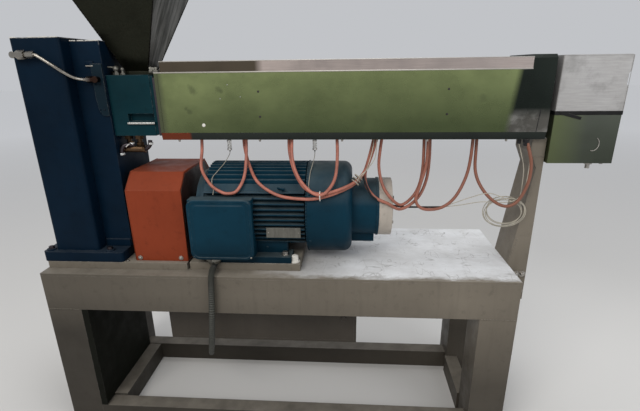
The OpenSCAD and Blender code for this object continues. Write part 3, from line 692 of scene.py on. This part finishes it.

# Cords, along the same points as in the source
CABLE_ROUTES = {
    "cable_a": [(-433, -80, 1261), (-437, -84, 1180), (-438, -110, 1110), (-390, -165, 1060),
        (-348, -182, 1036), (-317, -186, 1030), (-285, -180, 1040), (-263, -142, 1085), (-260, -98, 1160),
        (-259, -80, 1261)],
    "cable_b": [(-272, -66, 1261), (-271, -72, 1190), (-250, -98, 1118), (-205, -160, 1065),
        (-127, -188, 1025), (-37, -196, 1014), (30, -194, 1018), (105, -180, 1040), (163, -130, 1060),
        (195, -90, 1092), (218, -72, 1165), (238, -66, 1260)],
    "cable_c": [(-92, -80, 1261), (-93, -88, 1170), (-66, -135, 1095), (-22, -178, 1046), (37, -196, 1034),
        (112, -184, 1052), (168, -138, 1072), (203, -102, 1112), (228, -84, 1175), (250, -80, 1260)],
    "cable_d": [(88, -94, 1261), (92, -108, 1160), (84, -160, 1084), (54, -204, 1044), (25, -216, 1036),
        (-14, -200, 1052), (-58, -156, 1096), (-80, -114, 1160), (-78, -94, 1261)],
    "cable_e": [(266, -66, 1261), (256, -68, 1180), (252, -76, 1110), (266, -92, 1044), (294, -124, 1002),
        (338, -110, 966), (385, -84, 990), (412, -72, 1040), (422, -66, 1120), (418, -66, 1261)],
    "cable_f": [(248, -52, 1260), (226, -56, 1170), (202, -70, 1096), (204, -96, 1042), (236, -126, 1002),
        (285, -136, 980), (338, -122, 953), (403, -88, 985), (438, -62, 1050), (447, -52, 1140),
        (442, -52, 1261)],
    "cable_g": [(430, -80, 1261), (432, -82, 1130), (411, -94, 1044), (396, -106, 983), (427, -106, 949),
        (492, -104, 953), (543, -98, 991), (580, -86, 1062), (595, -80, 1140), (597, -80, 1261)],
    "cable_h": [(614, -66, 1261), (616, -66, 1180), (620, -72, 1095), (640, -100, 1037), (680, -128, 992),
        (729, -134, 972), (770, -135, 996), (796, -135, 1064), (798, -134, 1133), (784, -130, 1187),
        (772, -124, 1223)],
}
CONDUIT_ROUTE = [(-388, -208, 750), (-388, -222, 742), (-387, -244, 741), (-385, -266, 735),
    (-384, -281, 716), (-384, -286, 690), (-388, -286, 632), (-395, -284, 552), (-406, -272, 476),
    (-422, -240, 404), (-440, -205, 352), (-456, -170, 305), (-470, -135, 270), (-482, -100, 262),
    (-491, -70, 280), (-495, -52, 310), (-495, -50, 329.7)]
CABLE_R, CONDUIT_R, COIL_WIRE_R = 6, 12, 1.6


def cord(name, pts, r, mat, steps=8, node=None):
    """Cord between two places on the machine; node is the CAD cord that it stands for."""
    o, dense = tube(name, pts, r, mat, steps=steps)
    if node:
        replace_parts(o, node)


def coil_path():
    """Five turns of thin wire wound in a loose hank, with both ends going up."""
    cx, cy, cz = 730, -129, 944
    turns, per_turn, start = 5, 16, 50
    mean_r, wide, flat, turn_step = 61, 1.13, 0.9, 5.4
    way_down = [(752, -112, 1207), (766, -112, 1168), (783, -112, 1110), (783, -118, 1030)]
    way_up = [(794, -113, 1010), (801, -113, 1110), (797, -112, 1170), (786, -100, 1208)]
    hank = []
    for i in range(turns * per_turn + 1):
        t = i / per_turn
        a = radians(start - 360 * t)
        r = mean_r + 5 * sin(1.7 * t) + 2.5 * sin(a * 2 + t)
        hank.append((cx + wide * r * cos(a) + 4 * sin(2.3 * t), cy + turn_step * t + 1.2 * sin(3 * a),
            cz + flat * r * sin(a) + 4 * cos(1.9 * t)))
    return way_down + hank + way_up


for cable, route in CABLE_ROUTES.items():
    cord(cable + "_skin", route, CABLE_R, "cable_sleeve", node=cable)
cord("conduit_skin", CONDUIT_ROUTE, CONDUIT_R, "conduit_grey", node="conduit")
cord("sensor_coil_skin", coil_path(), COIL_WIRE_R, "wire_white", steps=3, node="sensor_coil")


# Gearbox, feed block and hopper
def gearbox_details():
    """Foot bolts, pad plate behind the oil pipe's foot, chipped edges, and sight plug with a painted
    highlight under it.
    """
    bolt_in, boss_z = 24, CASE.z0 + 46
    bolts("gearbox_flange_bolts",
        [(x, y, boss_z) for x in (CASE.x0 + bolt_in, CASE.x1 - 62)
        for y in (CASE.y0 + bolt_in, CASE.y1 - bolt_in)], UP, 11, 9, "barrel_steel")

    front, back = OUTPUT.y0 - 1.2, OUTPUT.y0 + 5.2
    pad_x0, pad_x1, pad_z0, pad_z1 = OUTPUT.x1 - 42, OUTPUT.x1 - 1.5, 1316, 1500
    pad = [(pad_x0, pad_z1), (pad_x1, pad_z1), (pad_x1, pad_z0), (pad_x0 + 17, pad_z0),
        (pad_x0 + 4, pad_z0 + 24), (pad_x0, pad_z0 + 64)]
    prism("gearbox_pad_plate", pad, front, back, "Y", "pad_paint", 0.6)
    bolts("gearbox_pad_screws",
        [(x, OUTPUT.y0 - 1, z) for x in (pad_x0 + 10, pad_x0 + 26) for z in (pad_z0 + 22, pad_z1 - 71)],
        FRONT, 3.4, 2, "navy_paint")

    case_edge, output_edge = (MID_Y - 180, CASE.z1), (MID_Y - 125, OUTPUT.z1)
    chips = [(-968, -938, case_edge), (-931, -896, case_edge), (-890, -862, case_edge),
        (-858, -835, output_edge), (-829, -806, output_edge), (-798, -752, output_edge),
        (-1034, -1012, case_edge)]
    chip_l = 5
    runs = []
    for x0, x1, (y, z) in chips:
        n = max(3, int((x1 - x0) / chip_l))
        for k in range(n):
            a, b = x0 + (x1 - x0) * k / n, x0 + (x1 - x0) * (k + 1) / n
            runs.append(((a, y, z), (b, y, z), 1.3 + 1.2 * DRAWS.random(), 8, 1.0 + 1.0 * DRAWS.random()))
    rods("gearbox_edge_chips", runs, "white_plastic", smooth=True)

    plug_x0, plug_x1, plug_z = -811, -783, 1495
    boxes("gearbox_plug", [((plug_x0, OUTPUT.y0, plug_z), (plug_x1, back, plug_z + 14))], "navy_paint",
        bev=1.5)
    # Bright strip under the plug: a painted highlight
    boxes("gearbox_plug_highlight", [((plug_x0, OUTPUT.y0 - 2, plug_z - 4.5), (plug_x1, back, plug_z - 0.5))],
        "bolt_steel", bev=0.6)


def feed_details():
    """Bar in the slot, throat bolts, and the valve and nipple beside the hopper's foot."""
    bar_y, bar_z = -134, 1287
    rods("feed_slot_bar", [((FEED.x0 + 59, bar_y, bar_z), (FEED.x1 - 9, bar_y, bar_z), 5.0, 16)],
        "plate_bare")
    mid_x = (FEED.x0 + FEED.x1) / 2
    bolts("feed_flange_bolts",
        [(mid_x + dx, MID_Y + dy, HOPPER_FOOT_Z) for dx in (-68, 68) for dy in (-69, 0, 69)], UP, 8, 6)
    valve = Vector((FEED.x0 + 33, -112, FEED.z1))
    nipple = Vector((FEED.x0 + 57, -112, FEED.z1))
    bm = bmesh.new()
    turned(bm, valve, UP, (8, 12, 6), (16, 7, 16))
    ball(bm, valve + UP * 22, 11)
    rod(bm, valve + UP * 26, valve + Vector((-30, 0, 28)), 3, 14)
    turned(bm, nipple, UP, (7, 10, 6), (11, 5, 14))
    ball(bm, nipple + UP * 20, 7)
    piece("feed_nipples", bm, "plate_dull")


def water_distributor():
    """Distributor with two elbows and clamps, under the feed block."""
    y, z, branch_x = FEED_PIPE_Y, FEED_PIPE_Z, -707
    bm = bmesh.new()
    turned(bm, (-735, y, z), RIGHT, (71, 13, 20))
    rod(bm, (-742, y, z), (-735, y, z), 15, 6)
    rod(bm, (-664, y, z), (-655, y, z), 15, 6)
    rod(bm, (branch_x, y, z), (branch_x, y, z + 30), 8, 16)
    piece("water_distributor", bm, "fitting_brass")
    tube("water_elbow_left", [(-700, -100, 1199), (-716, -112, 1203), (-732, -116, 1198), (-742, -117, z),
        (-745, -117, 1170)], 8, "barrel_steel")
    tube("water_elbow_right", [(-655, -100, z), (-644, -104, 1190), (-634, -104, 1202), (-631, -104, 1218)],
        8, "barrel_steel")
    middles = ((branch_x, 1207), (-631, 1206))
    clamps = [((x, -102, mid - 3.5), (x, -102, mid + 3.5), 10.5, 20) for x, mid in middles]
    clamp_screw = ((-722, -121, 1196), (-710, -121, 1207), 3.2, 10)
    end_clamp = ((-745, -117, 1172), (-745, -117, 1164), 11, 18)
    rods("water_clamps", clamps + [clamp_screw, end_clamp], "sensor_chrome")


def hopper_half(z):
    """Half the hopper's width at a height."""
    return 42.4 + 0.42 * (z - HOPPER_FOOT_Z)


def hopper_details():
    """Welds along the hopper's corners, its rolled rim, and the clip and scratches at its foot."""
    bead_l, beads = 10, 44
    runs = []
    for sx in (-1, 1):
        for sy in (-1, 1):
            for k in range(beads):
                ends = []
                for z in (HOPPER_FOOT_Z + 1 + k * bead_l, HOPPER_FOOT_Z + 1 + (k + 1) * bead_l):
                    half = hopper_half(z)
                    ends.append((HOPPER_X + sx * half, MID_Y + sy * half, z))
                runs.append((*ends, 2.2 + 0.5 * DRAWS.random(), 8, 1.9))
    rods("hopper_welds", runs, "weld_dark", smooth=True)

    rim, rim_z, rim_r = 245, HOPPER.z1 - 4, 3.8
    runs = []
    for s in (-1, 1):
        x, y = HOPPER_X + s * rim, MID_Y + s * rim
        runs.append(((x, MID_Y - rim, rim_z), (x, MID_Y + rim, rim_z), rim_r, 12))
        runs.append(((HOPPER_X - rim, y, rim_z), (HOPPER_X + rim, y, rim_z), rim_r, 12))
    rods("hopper_rim_bead", runs, "dark_stainless", smooth=True)

    bm = bmesh.new()
    knobs = ((-598, -86, 1481, 5.5), (-588, -88, 1479, 6), (-578, -86, 1480, 5.5), (-593, -90, 1474, 5))
    for x, y, z, r in knobs:
        rod(bm, (x, y, z), (x, y - 8, z + 1), r, 14)
    block(bm, (-604, -96, 1466), (-570, -84, 1476), 1.5)
    for k in range(16):
        z = HOPPER_FOOT_Z + 12 + 7 * k + 4 * DRAWS.random()
        half = hopper_half(z)
        rod(bm, (HOPPER_X + half - 1, MID_Y - half * 0.55 - 9 * DRAWS.random(), z),
            (HOPPER_X + half + 0.6, MID_Y - half * 0.6, z + 4), 1.6 + DRAWS.random(), 8)
    piece("hopper_clip", bm, "plate_dull")


# Cover over the barrel
def cover_details():
    """Screws, dot, scratches, hems and lid edges made pale as painted highlights, lip, slit, left edge and
    cable glands.
    """
    front = COVER.y0
    screws("cover_screws", [(-192, front, 1398), (-190, front, 1309), (481, front, 1401), (481, front, 1315)],
        FRONT, 4, 2.2, "barrel_steel")
    screws("cover_dot", [(-403, front, 1279)], FRONT, 7, 1.6, "white_plastic")
    screws("cover_scratches", [(-303, front, 1422.5), (-333, front, 1374), (-258.5, front, 1380)], FRONT, 2.2,
        0.7, "plate_bare")
    screws("cover_lip_screws", [(x, front + 8, COVER.z0) for x in (-505, -197, 110, 420, 700)], DOWN, 4.5, 7)
    hem_y, edge_z = front - 0.4, LID.z1 - 0.4
    # The cover's hem, made pale as a painted highlight
    rods("cover_hem_highlight", [((COVER.x0, hem_y, COVER.z1), (LID.x1, hem_y, COVER.z1), 2.3, 12)], "hem_bright",
        smooth=True)
    # Pale beads along the lid's top edges: painted highlights
    rods("lid_edge_highlight",
        [((LID.x0, y, edge_z), (LID.x1, y, edge_z), 1.5, 12) for y in (LID.y0 + 0.4, LID.y1 - 0.4)],
        "hem_bright", smooth=True)
    lip_z = COVER.z0 + 0.5
    lip = [(front + 0.2, LIP_TOP), (front + 2.8, LIP_TOP), (front + 7.6, lip_z), (front + 5.4, lip_z)]
    prism("cover_lip_skin", lip, COVER.x0 + 0.5, COVER.x1 - 1, "X", "lip_mirror")
    foot, head = LIP_TOP + 1, LIP_TOP + 78
    slit = [(801, head), (803.6, head), (797.4, foot), (795, foot)]
    prism("cover_slit", slit, front - 0.6, front + 0.2, "Y", "black_plastic")
    boxes("cover_left_edge",
        [((COVER.x0, front - 1.6, LIP_TOP + 1), (COVER.x0 + 12, front + 0.2, COVER.z1 - 2))],
        "cover_polished", bev=0.8)
    bm = bmesh.new()
    turned(bm, (772, -123.4, COVER.z0), DOWN, (12, 11, 20), (12, 9, 6))
    turned(bm, (752, -112, COVER.z0), DOWN, (18, 7, 16))
    turned(bm, (786, -95, COVER.z0), DOWN, (16, 8, 16))
    piece("cable_glands", bm, "black_plastic")


# Thermocouples and their leads
def thermocouple_cap(tag, x):
    """Knurled cap with a tip below and a spring above."""
    knurl_z0, knurl_z1, collar_t, knurl_r = SENSORS.z0 + 10, SENSORS.z0 + 36, 3, 7.6
    spring_z0, spring_h, spring_r, turns, per_turn = knurl_z1 + collar_t, 19, 6.6, 6, 14
    pts = []
    for i in range(turns * per_turn + 1):
        a = 2 * pi * i / per_turn
        z = spring_z0 + spring_h * i / (turns * per_turn)
        pts.append((x + spring_r * cos(a), MID_Y + spring_r * sin(a), z))
    tube("thermocouple_spring_" + tag, pts, 0.9, "sensor_chrome", res=2, steps=1)
    bm = bmesh.new()
    turned(bm, (x, MID_Y, SENSORS.z0), DOWN, (7, 4, 12, 2.2))
    for k in range(16):
        a = 2 * pi * k / 16
        rx, ry = x + knurl_r * cos(a), MID_Y + knurl_r * sin(a)
        rod(bm, (rx, ry, knurl_z0), (rx, ry, knurl_z1), 0.9, 6)
    turned(bm, (x, MID_Y, knurl_z1), UP, (collar_t, 9.6, 20))
    piece("thermocouple_cap_" + tag, bm, "sensor_chrome")


LEADS = {
    "left": [(-346.5, -15, 1158), (-348, -24, 1146), (-358, -60, 1122), (-376, -100, 1098),
        (-390, -134, 1078), (-386, -158, 1056), (-378, -172, 1040), (-376, -190, 1026)],
    "right": [(-0.5, -15, 1158), (-1, -26, 1140), (-6, -70, 1118), (-12, -112, 1094), (-15, -146, 1066),
        (-14, -166, 1052), (-8, -182, 1046)],
}
BUNDLE = [(190, -118, 1082), (204, -126, 1046), (224, -134, 1010), (262, -128, 984), (310, -104, 962),
    (358, -92, 952), (440, -92, 952), BUNDLE_END]
LOOSE_WIRES = {
    "a": [BUNDLE_END, (540, -104, 972), (600, -112, 999), (659, -118, 1018), (700, -124, 1010),
        (728, -128, 998)],
    "b": [BUNDLE_END, (560, -108, 966), (640, -120, 984), (700, -132, 985), (752, -133, 993),
        (784, -124, 1012)],
    "c": [(168, -146, 1074), (184, -136, 1086), (202, -120, 1108), (214, -106, 1140), (226, -96, 1190),
        (232, -88, 1262)],
    "d": [(166, -150, 1070), (180, -144, 1092), (196, -136, 1104), (214, -122, 1122), (236, -104, 1160),
        (240, -92, 1262)],
}


def sensor_details():
    """Thermocouples, their leads, the sheathed bundle, loose wires and cable ties."""
    for tag, x in (("left", SENSORS.x0 + 10), ("right", SENSORS.x1 - 10)):
        thermocouple_cap(tag, x)
    for tag, pts in LEADS.items():
        cord("sensor_lead_" + tag, pts, 1.3, "wire_white")
    cord("sensor_lead_bundle", BUNDLE, 3.6, "black_plastic")
    for tag, pts in LOOSE_WIRES.items():
        cord("sensor_wire_" + tag, pts, COIL_WIRE_R, "wire_white")
    loop("cable_tie_low", (30, -203, 1028), (1, 0.02, 0.02), 19, 17, 2.0, "white_plastic")
    for k in range(3):
        loop("cable_tie_wrap_%d" % k, (160 + 6 * k, -137 + 5 * k, 1063 + 9 * k), (0.6, 0.3, 0.7), 15, 16, 2.2,
            "wire_white")


# Motor
def motor_plate():
    """Bare plate on its seat between the fins, with two rivets."""
    x0, x1, y, z0, z1 = -178, -46, -199, 858, 899
    boxes("motor_plate", [((x0, y, z0), (x1, y + 2, z1))], "plate_dull", bev=0.6)
    screws("motor_plate_rivets", [(x, y, (z0 + z1) / 2) for x in (x0 + 8, x1 - 8)], FRONT, 2.6, 1.2)
    boxes("motor_plate_seat", [((x0 + 2, y + 2, z0 + 4), (x1 - 2, y + 13, z1 - 4))], "motor_paint",
        bev=1)


def motor_fasteners():
    """Foot bolts, jack bolt and earth stud."""
    foot_top = STATOR.z0 + 26
    bolts("motor_foot_bolts",
        [(x, y, foot_top) for x in (STATOR.x0 + 53, STATOR.x1 - 87) for y in (MID_Y - 157, MID_Y + 157)], UP,
        11, 10, "bolt_steel", 16)
    bm = bmesh.new()
    turned(bm, (-74, -180, STATOR.z0), UP, (5, 20, 24), (19, 16, 6), (4, 14, 18, 8))
    piece("motor_jack_bolt", bm, "white_plastic")
    bm = bmesh.new()
    turned(bm, (-185, -136, 800), FRONT, (16, 9, 6), (10, 4, 12))
    piece("motor_earth_stud", bm, "motor_paint")


def lifting_eye():
    """Eye on the smooth band between the two groups of fins."""
    band = radians(54)
    out = Vector((0, -sin(band), cos(band)))
    seat = Vector((-118, MID_Y, SHAFT_Z)) + out * 180
    rods("motor_eye_base",
        [(seat - out * 8, seat + out * 3, 15, 20), (seat + out * 3, seat + out * 10, 8, 16)], "motor_paint")
    loop("motor_eye", tuple(seat + out * 19), (0.25, 0.5, 0.8), 12, 10, 4.2, "motor_paint")


def cowl_details():
    cowl_r = 186
    for name, side in (("cowl_screws_front", FRONT), ("cowl_screws_rear", REAR)):
        places = [(COWL.x0 + 13, MID_Y + side.y * cowl_r * sin(a), SHAFT_Z + cowl_r * cos(a))
            for a in (radians(60), radians(120))]
        screws(name, places, side, 5, 2.5, "motor_paint")
    rods("cowl_lip", hoop(COWL.x0 + 1, cowl_r + 0.5, 2.4, 96, 8), "motor_paint", smooth=True)


def blower_details():
    """Bolts on the ring, and the round grille over the dark opening."""
    bolt_circle, grille_r = 98, 78
    angles = [radians(a) for a in range(22, 382, 60)]
    bolts("blower_bolts", [(RING.x1, MID_Y + bolt_circle * cos(a), SHAFT_Z + bolt_circle * sin(a))
        for a in angles], RIGHT, 7, 5)
    runs = []
    for dz in range(-64, 65, 16):
        half = sqrt(grille_r ** 2 - dz ** 2)
        runs.append(((RING.x1 + 2, MID_Y - half, SHAFT_Z + dz), (RING.x1 + 2, MID_Y + half, SHAFT_Z + dz),
            1.6, 8))
    for k in range(4):
        runs += hoop(RING.x1 + 4, 20 + 19 * k, 1.6, 36, 6)
    rods("blower_grille", runs, "bolt_steel")
    rods("blower_opening", [((RING.x1 - 0.4, MID_Y, SHAFT_Z), (RING.x1 + 1, MID_Y, SHAFT_Z), 84, 48)],
        "black_plastic")


def lid_outline(inset, r, n=8):
    lid = TERMINAL_LID
    return rounded_outline(lid.x0 + inset, lid.z0 + inset, lid.x1 - inset, lid.z1 - inset, r, n)


def terminal_lid_skin():
    """Domed lid with a raised middle, built of rings from its back to its front."""
    lid = TERMINAL_LID
    cx, cz = (lid.x0 + lid.x1) / 2, (lid.z0 + lid.z1) / 2
    rim, bed, middle = lid_outline(0, 32), lid_outline(10, 24), lid_outline(22, 18)
    steps = ((rim, 13, 0), (rim, 6, 0), (rim, 2.5, 0.008), (rim, 0, 0.03), (bed, -0.4, 0.005),
        (bed, 1.6, 0.022), (middle, 2, -0.02), (middle, -0.2, 0.03))
    bm = bmesh.new()
    rows = []
    for outline, depth, pull in steps:
        ring = [(cx + (u - cx) * (1 - pull), lid.y0 + depth, cz + (v - cz) * (1 - pull)) for u, v in outline]
        rows.append([bm.verts.new(Vector(p) * MM) for p in ring])
    skin(bm, rows)
    bm.faces.new(rows[-1])
    bm.faces.new(list(reversed(rows[0])))
    bmesh.ops.recalc_face_normals(bm, faces=bm.faces)
    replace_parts(piece("terminal_lid_skin", bm, "motor_paint"), "terminal_lid")


def terminal_details():
    """Gasket, lid, four screws and both conduit glands."""
    lid = TERMINAL_LID
    bm = bmesh.new()
    extrude(bm, lid_outline(2.4, 30, 5), lid.y1 - 0.2, lid.y1 + 3.6, "Y")
    piece("terminal_gasket", bm, "black_plastic")
    terminal_lid_skin()
    x0, x1, y, z0, z1 = lid.x0 + 13, lid.x1 - 13, lid.y0 + 1, lid.z0 + 13, lid.z1 - 13
    screws("terminal_screws", [(x0, y, z0), (x0, y, z1), (x1, y, z1)], FRONT, 4.2, 2.6, "motor_paint")
    screws("terminal_screw_bare", [(x1, y, z0)], FRONT, 4.2, 2.6)
    bm = bmesh.new()
    turned(bm, (-388, -208, 778), DOWN, (10, 32, 6), (13, 29, 24, 24))
    rod(bm, (-391, -209, 756), (-392, -213, 744), 20, 24, 15)
    piece("conduit_gland", bm, "plate_dull")
    nut_end = Vector(CONDUIT_END) + DOWN * 6
    rods("conduit_gland_low",
        [(CONDUIT_END, nut_end, 26, 6), (nut_end, nut_end + Vector((0, -0.5, -10)), 18, 24)], "plate_dull")


# Coupling guard and stand
def guard_outline(inset, chamfer, foot):
    """Outline of the guard's end, from its front foot over the top to its rear foot."""
    y0, y1, z1 = GUARD.y0 + inset, GUARD.y1 - inset, GUARD.z1 - inset
    return [(y0, foot), (y0, z1 - chamfer), (y0 + chamfer, z1), (y1 - chamfer, z1), (y1, z1 - chamfer),
        (y1, foot)]


def guard_details():
    left, right = (GUARD.x0 + 19, 763), (GUARD.x1 - 28, 764)
    bolts("guard_bolts", [(x, GUARD.y0, z) for x, z in (left, right)], FRONT, 5.5, 4, "bolt_steel", 9)
    bolts("guard_bolts_rear", [(x, GUARD.y1, z) for x, z in (left, right)], REAR, 5.5, 4, "bolt_steel", 9)
    # A near-black sheet on the guard's right end: painted shade inside its open end
    front_foot, *rest, rear_foot = guard_outline(8, 56, GUARD.z0 + 8)
    prism("guard_end_shade", [front_foot, rear_foot, *reversed(rest)], GUARD.x1, GUARD.x1 + 1.4, "X",
        "guard_dark")
    outline = guard_outline(0, 60, GUARD.z0 + 2)
    rods("guard_edge_beads", [((x, *a), (x, *b), 1.7, 8) for a, b in zip(outline, outline[1:])
        for x in (GUARD.x0 + 0.6, GUARD.x1 - 0.6)], "guard_paint", smooth=True)
    bolts("rail_bolts", [(x, PLINTH.y0 + 10, PLINTH.z1) for x in (-1062, -744)], UP, 7, 5)


def stand_welds():
    """Beads where legs, beams, rails, end panel and post meet."""
    runs = []
    for leg in (LEFT_LEG, RIGHT_LEG):
        for y in (BEAM.y0, -BEAM.y0):
            runs.append(((leg.x0 + 3, y, leg.z1), (leg.x1 - 3, y, leg.z1)))
    rail_z = RAIL_FRONT.z1 + 1
    for x in (END_PANEL.x1, RIGHT_LEG.x0):
        runs.append(((x, RAIL_FRONT.y0 + 1, rail_z), (x, RAIL_FRONT.y1 - 1, rail_z)))
        runs.append(((x, BEAM.y0 + 3, BEAM.z0 + 1), (x, BEAM.y1 - 2, BEAM.z0 + 1)))
    for x in (LEFT_LEG.x1, RIGHT_LEG.x0):
        runs.append(((x, RAIL_REAR.y0 + 1, RAIL_REAR.z1 + 1), (x, RAIL_REAR.y1 - 1, RAIL_REAR.z1 + 1)))
    for y, z in ((RAIL_FRONT.y1 + 0.5, rail_z), (RAIL_REAR.y0 - 0.5, RAIL_REAR.z1)):
        runs.append(((RAIL_LEFT.x0 + 2, y, z), (RAIL_LEFT.x1 - 2, y, z)))
    weld("frame_welds", runs)
    beside_beam = ((POST.x0 + 0.5, POST.y0, BEAM.z0 + 2), (POST.x0 + 0.5, POST.y0, TABLE.z1 - 2))
    over_table = ((POST.x0 + 2, POST.y0 + 1, TABLE.z1), (POST.x0 + 25, POST.y0 + 1, 830))
    weld("post_welds", [beside_beam, over_table], 2.2)


def stand_details():
    stand_welds()
    pad_in, pad_w = 4, 130
    boxes("foot_pads", [((x + pad_in, y + pad_in, 0.4), (x + pad_in + pad_w, y + pad_in + pad_w, 5))
        for x in (LEFT_LEG.x0, RIGHT_LEG.x0) for y in (LEFT_LEG.y0, REAR_LEG.y0)], "black_plastic", bev=1)
    box, door_z1, knob = CONTROL_BOX, 556, Vector((120, CONTROL_BOX.y0 - 2, 450))
    bm = bmesh.new()
    block(bm, (box.x0 + 10, box.y0 - 2.4, box.z0 + 12), (box.x1 - 10, box.y0 - 0.2, door_z1), 0.8)
    turned(bm, knob, FRONT, (5, 11, 24))
    piece("control_box_door", bm, "box_paint")
    boxes("post_head_plate",
        [((POST.x1 - 52, POST.y0 - 2.4, POST.z1 - 68), (POST.x1 - 2, POST.y0 - 0.2, POST.z1 - 2))],
        "rail_paint", bev=0.8)
    bolts("post_bolts", [(x, POST.y0, z) for x in (814, 838) for z in (600, 676)], FRONT, 9, 7, "bolt_steel",
        13)


# Boxes at the die end
def die_details():
    """Strap with its tail, wire hook, drain nipples and the folds of the upper box."""
    front = STRAP.y0
    bm = bmesh.new()
    block(bm, (STRAP.x0 + 1.4, front - 1.6, STRAP.z0 + 1), (STRAP.x1 + 0.4, front, STRAP.z1 - 1), 0.5)
    tail = [(868, 1321), (884, 1321), (948, 1301), (945, 1292), (878, 1310)]
    extrude(bm, tail, front - 3.6, front - 1.8, "Y", 0.4)
    piece("die_strap_skin", bm, "strap_rubber")

    hook_x, hook_z, hook_y, across, up = 1006, 1206, front - 1.2, 19, 24
    angles = [radians(a) for a in range(62, -118, -10)]
    pts = [(hook_x + across * cos(a), hook_y, hook_z + up * sin(a)) for a in angles]
    rods("die_wire_hook", [(a, b, 1.4, 8) for a, b in zip(pts, pts[1:])], "bolt_steel", smooth=True)

    bm = bmesh.new()
    turned(bm, (1030, -70, DIE_LOWER.z0), DOWN, (14, 14, 6), (16, 8, 16))
    turned(bm, (1062, -96, DIE_LOWER.z0), DOWN, (8, 6, 12))
    piece("die_drain_nipple", bm, "bolt_steel")

    fold_x0, fold_x1, top = DIE_UPPER.x0 + 2, DIE_UPPER.x1 - 2, DIE_UPPER.z1
    bm = bmesh.new()
    for x in (fold_x0, fold_x1):
        block(bm, (x - 0.8, front - 1.2, DIE_UPPER.z0 + 2), (x + 0.8, front + 0.2, top - 2), 0.3)
    block(bm, (fold_x0, front - 1.2, top - 3), (fold_x1 - 5, front + 0.4, top + 0.6), 0.4)
    piece("die_box_folds", bm, "die_aluminium")


for details in (gearbox_details, feed_details, water_distributor, hopper_details, cover_details,
        sensor_details, motor_plate, motor_fasteners, lifting_eye, cowl_details, blower_details,
        terminal_details, guard_details, stand_details, die_details):
    details()


# Floor, surroundings and lights
def make_floor(half=30, near=2.5, far=11.0):
    """Floor that grows lighter with distance, until it meets the surroundings."""
    bm = bmesh.new()
    bmesh.ops.create_grid(bm, x_segments=1, y_segments=1, size=half)
    me = new_mesh("floor", bm)
    m, nt, b = new_mat("floor")
    span = add(nt, "VectorMath", {0: coords(nt)}, operation="LENGTH")
    away = between(span.outputs["Value"], near, far)
    tone = mix(away, (0.62, 0.61, 0.59), (0.97, 0.97, 0.97))
    feed(b, {"Base Color": tone, "Roughness": 0.9, "Specular IOR Level": 0.0})
    me.materials.append(m)
    new_obj("floor", me)


def make_surroundings(color=(0.86, 0.88, 0.92, 1), strength=0.62):
    world = bpy.data.worlds.new("world")
    bpy.context.scene.world = world
    world.use_nodes = True
    world.node_tree.nodes["Background"].inputs[0].default_value = color
    world.node_tree.nodes["Background"].inputs[1].default_value = strength


def area_light(name, at, aim, size, power, color=(1, 1, 1)):
    d = bpy.data.lights.new(name, "AREA")
    d.shape = "RECTANGLE"
    d.size, d.size_y = size
    d.energy = power
    d.color = color
    o = new_obj(name, d)
    o.location = at
    o.rotation_euler = (Vector(aim) - Vector(at)).to_track_quat("-Z", "Y").to_euler()


make_floor()
make_surroundings()
area_light("key", at=(-1.4, -3.2, 3.6), aim=(0, 0, 1.0), size=(2.4, 1.6), power=95, color=(1.0, 0.97, 0.93))
area_light("top", at=(0.3, 0.4, 4.2), aim=(0, 0, 1.0), size=(3.0, 2.0), power=60)
area_light("fill", at=(2.8, -2.4, 2.2), aim=(0.2, 0, 0.9), size=(2.0, 2.0), power=28, color=(0.95, 0.97, 1.0))
bpy.context.scene.view_settings.view_transform = "Standard"
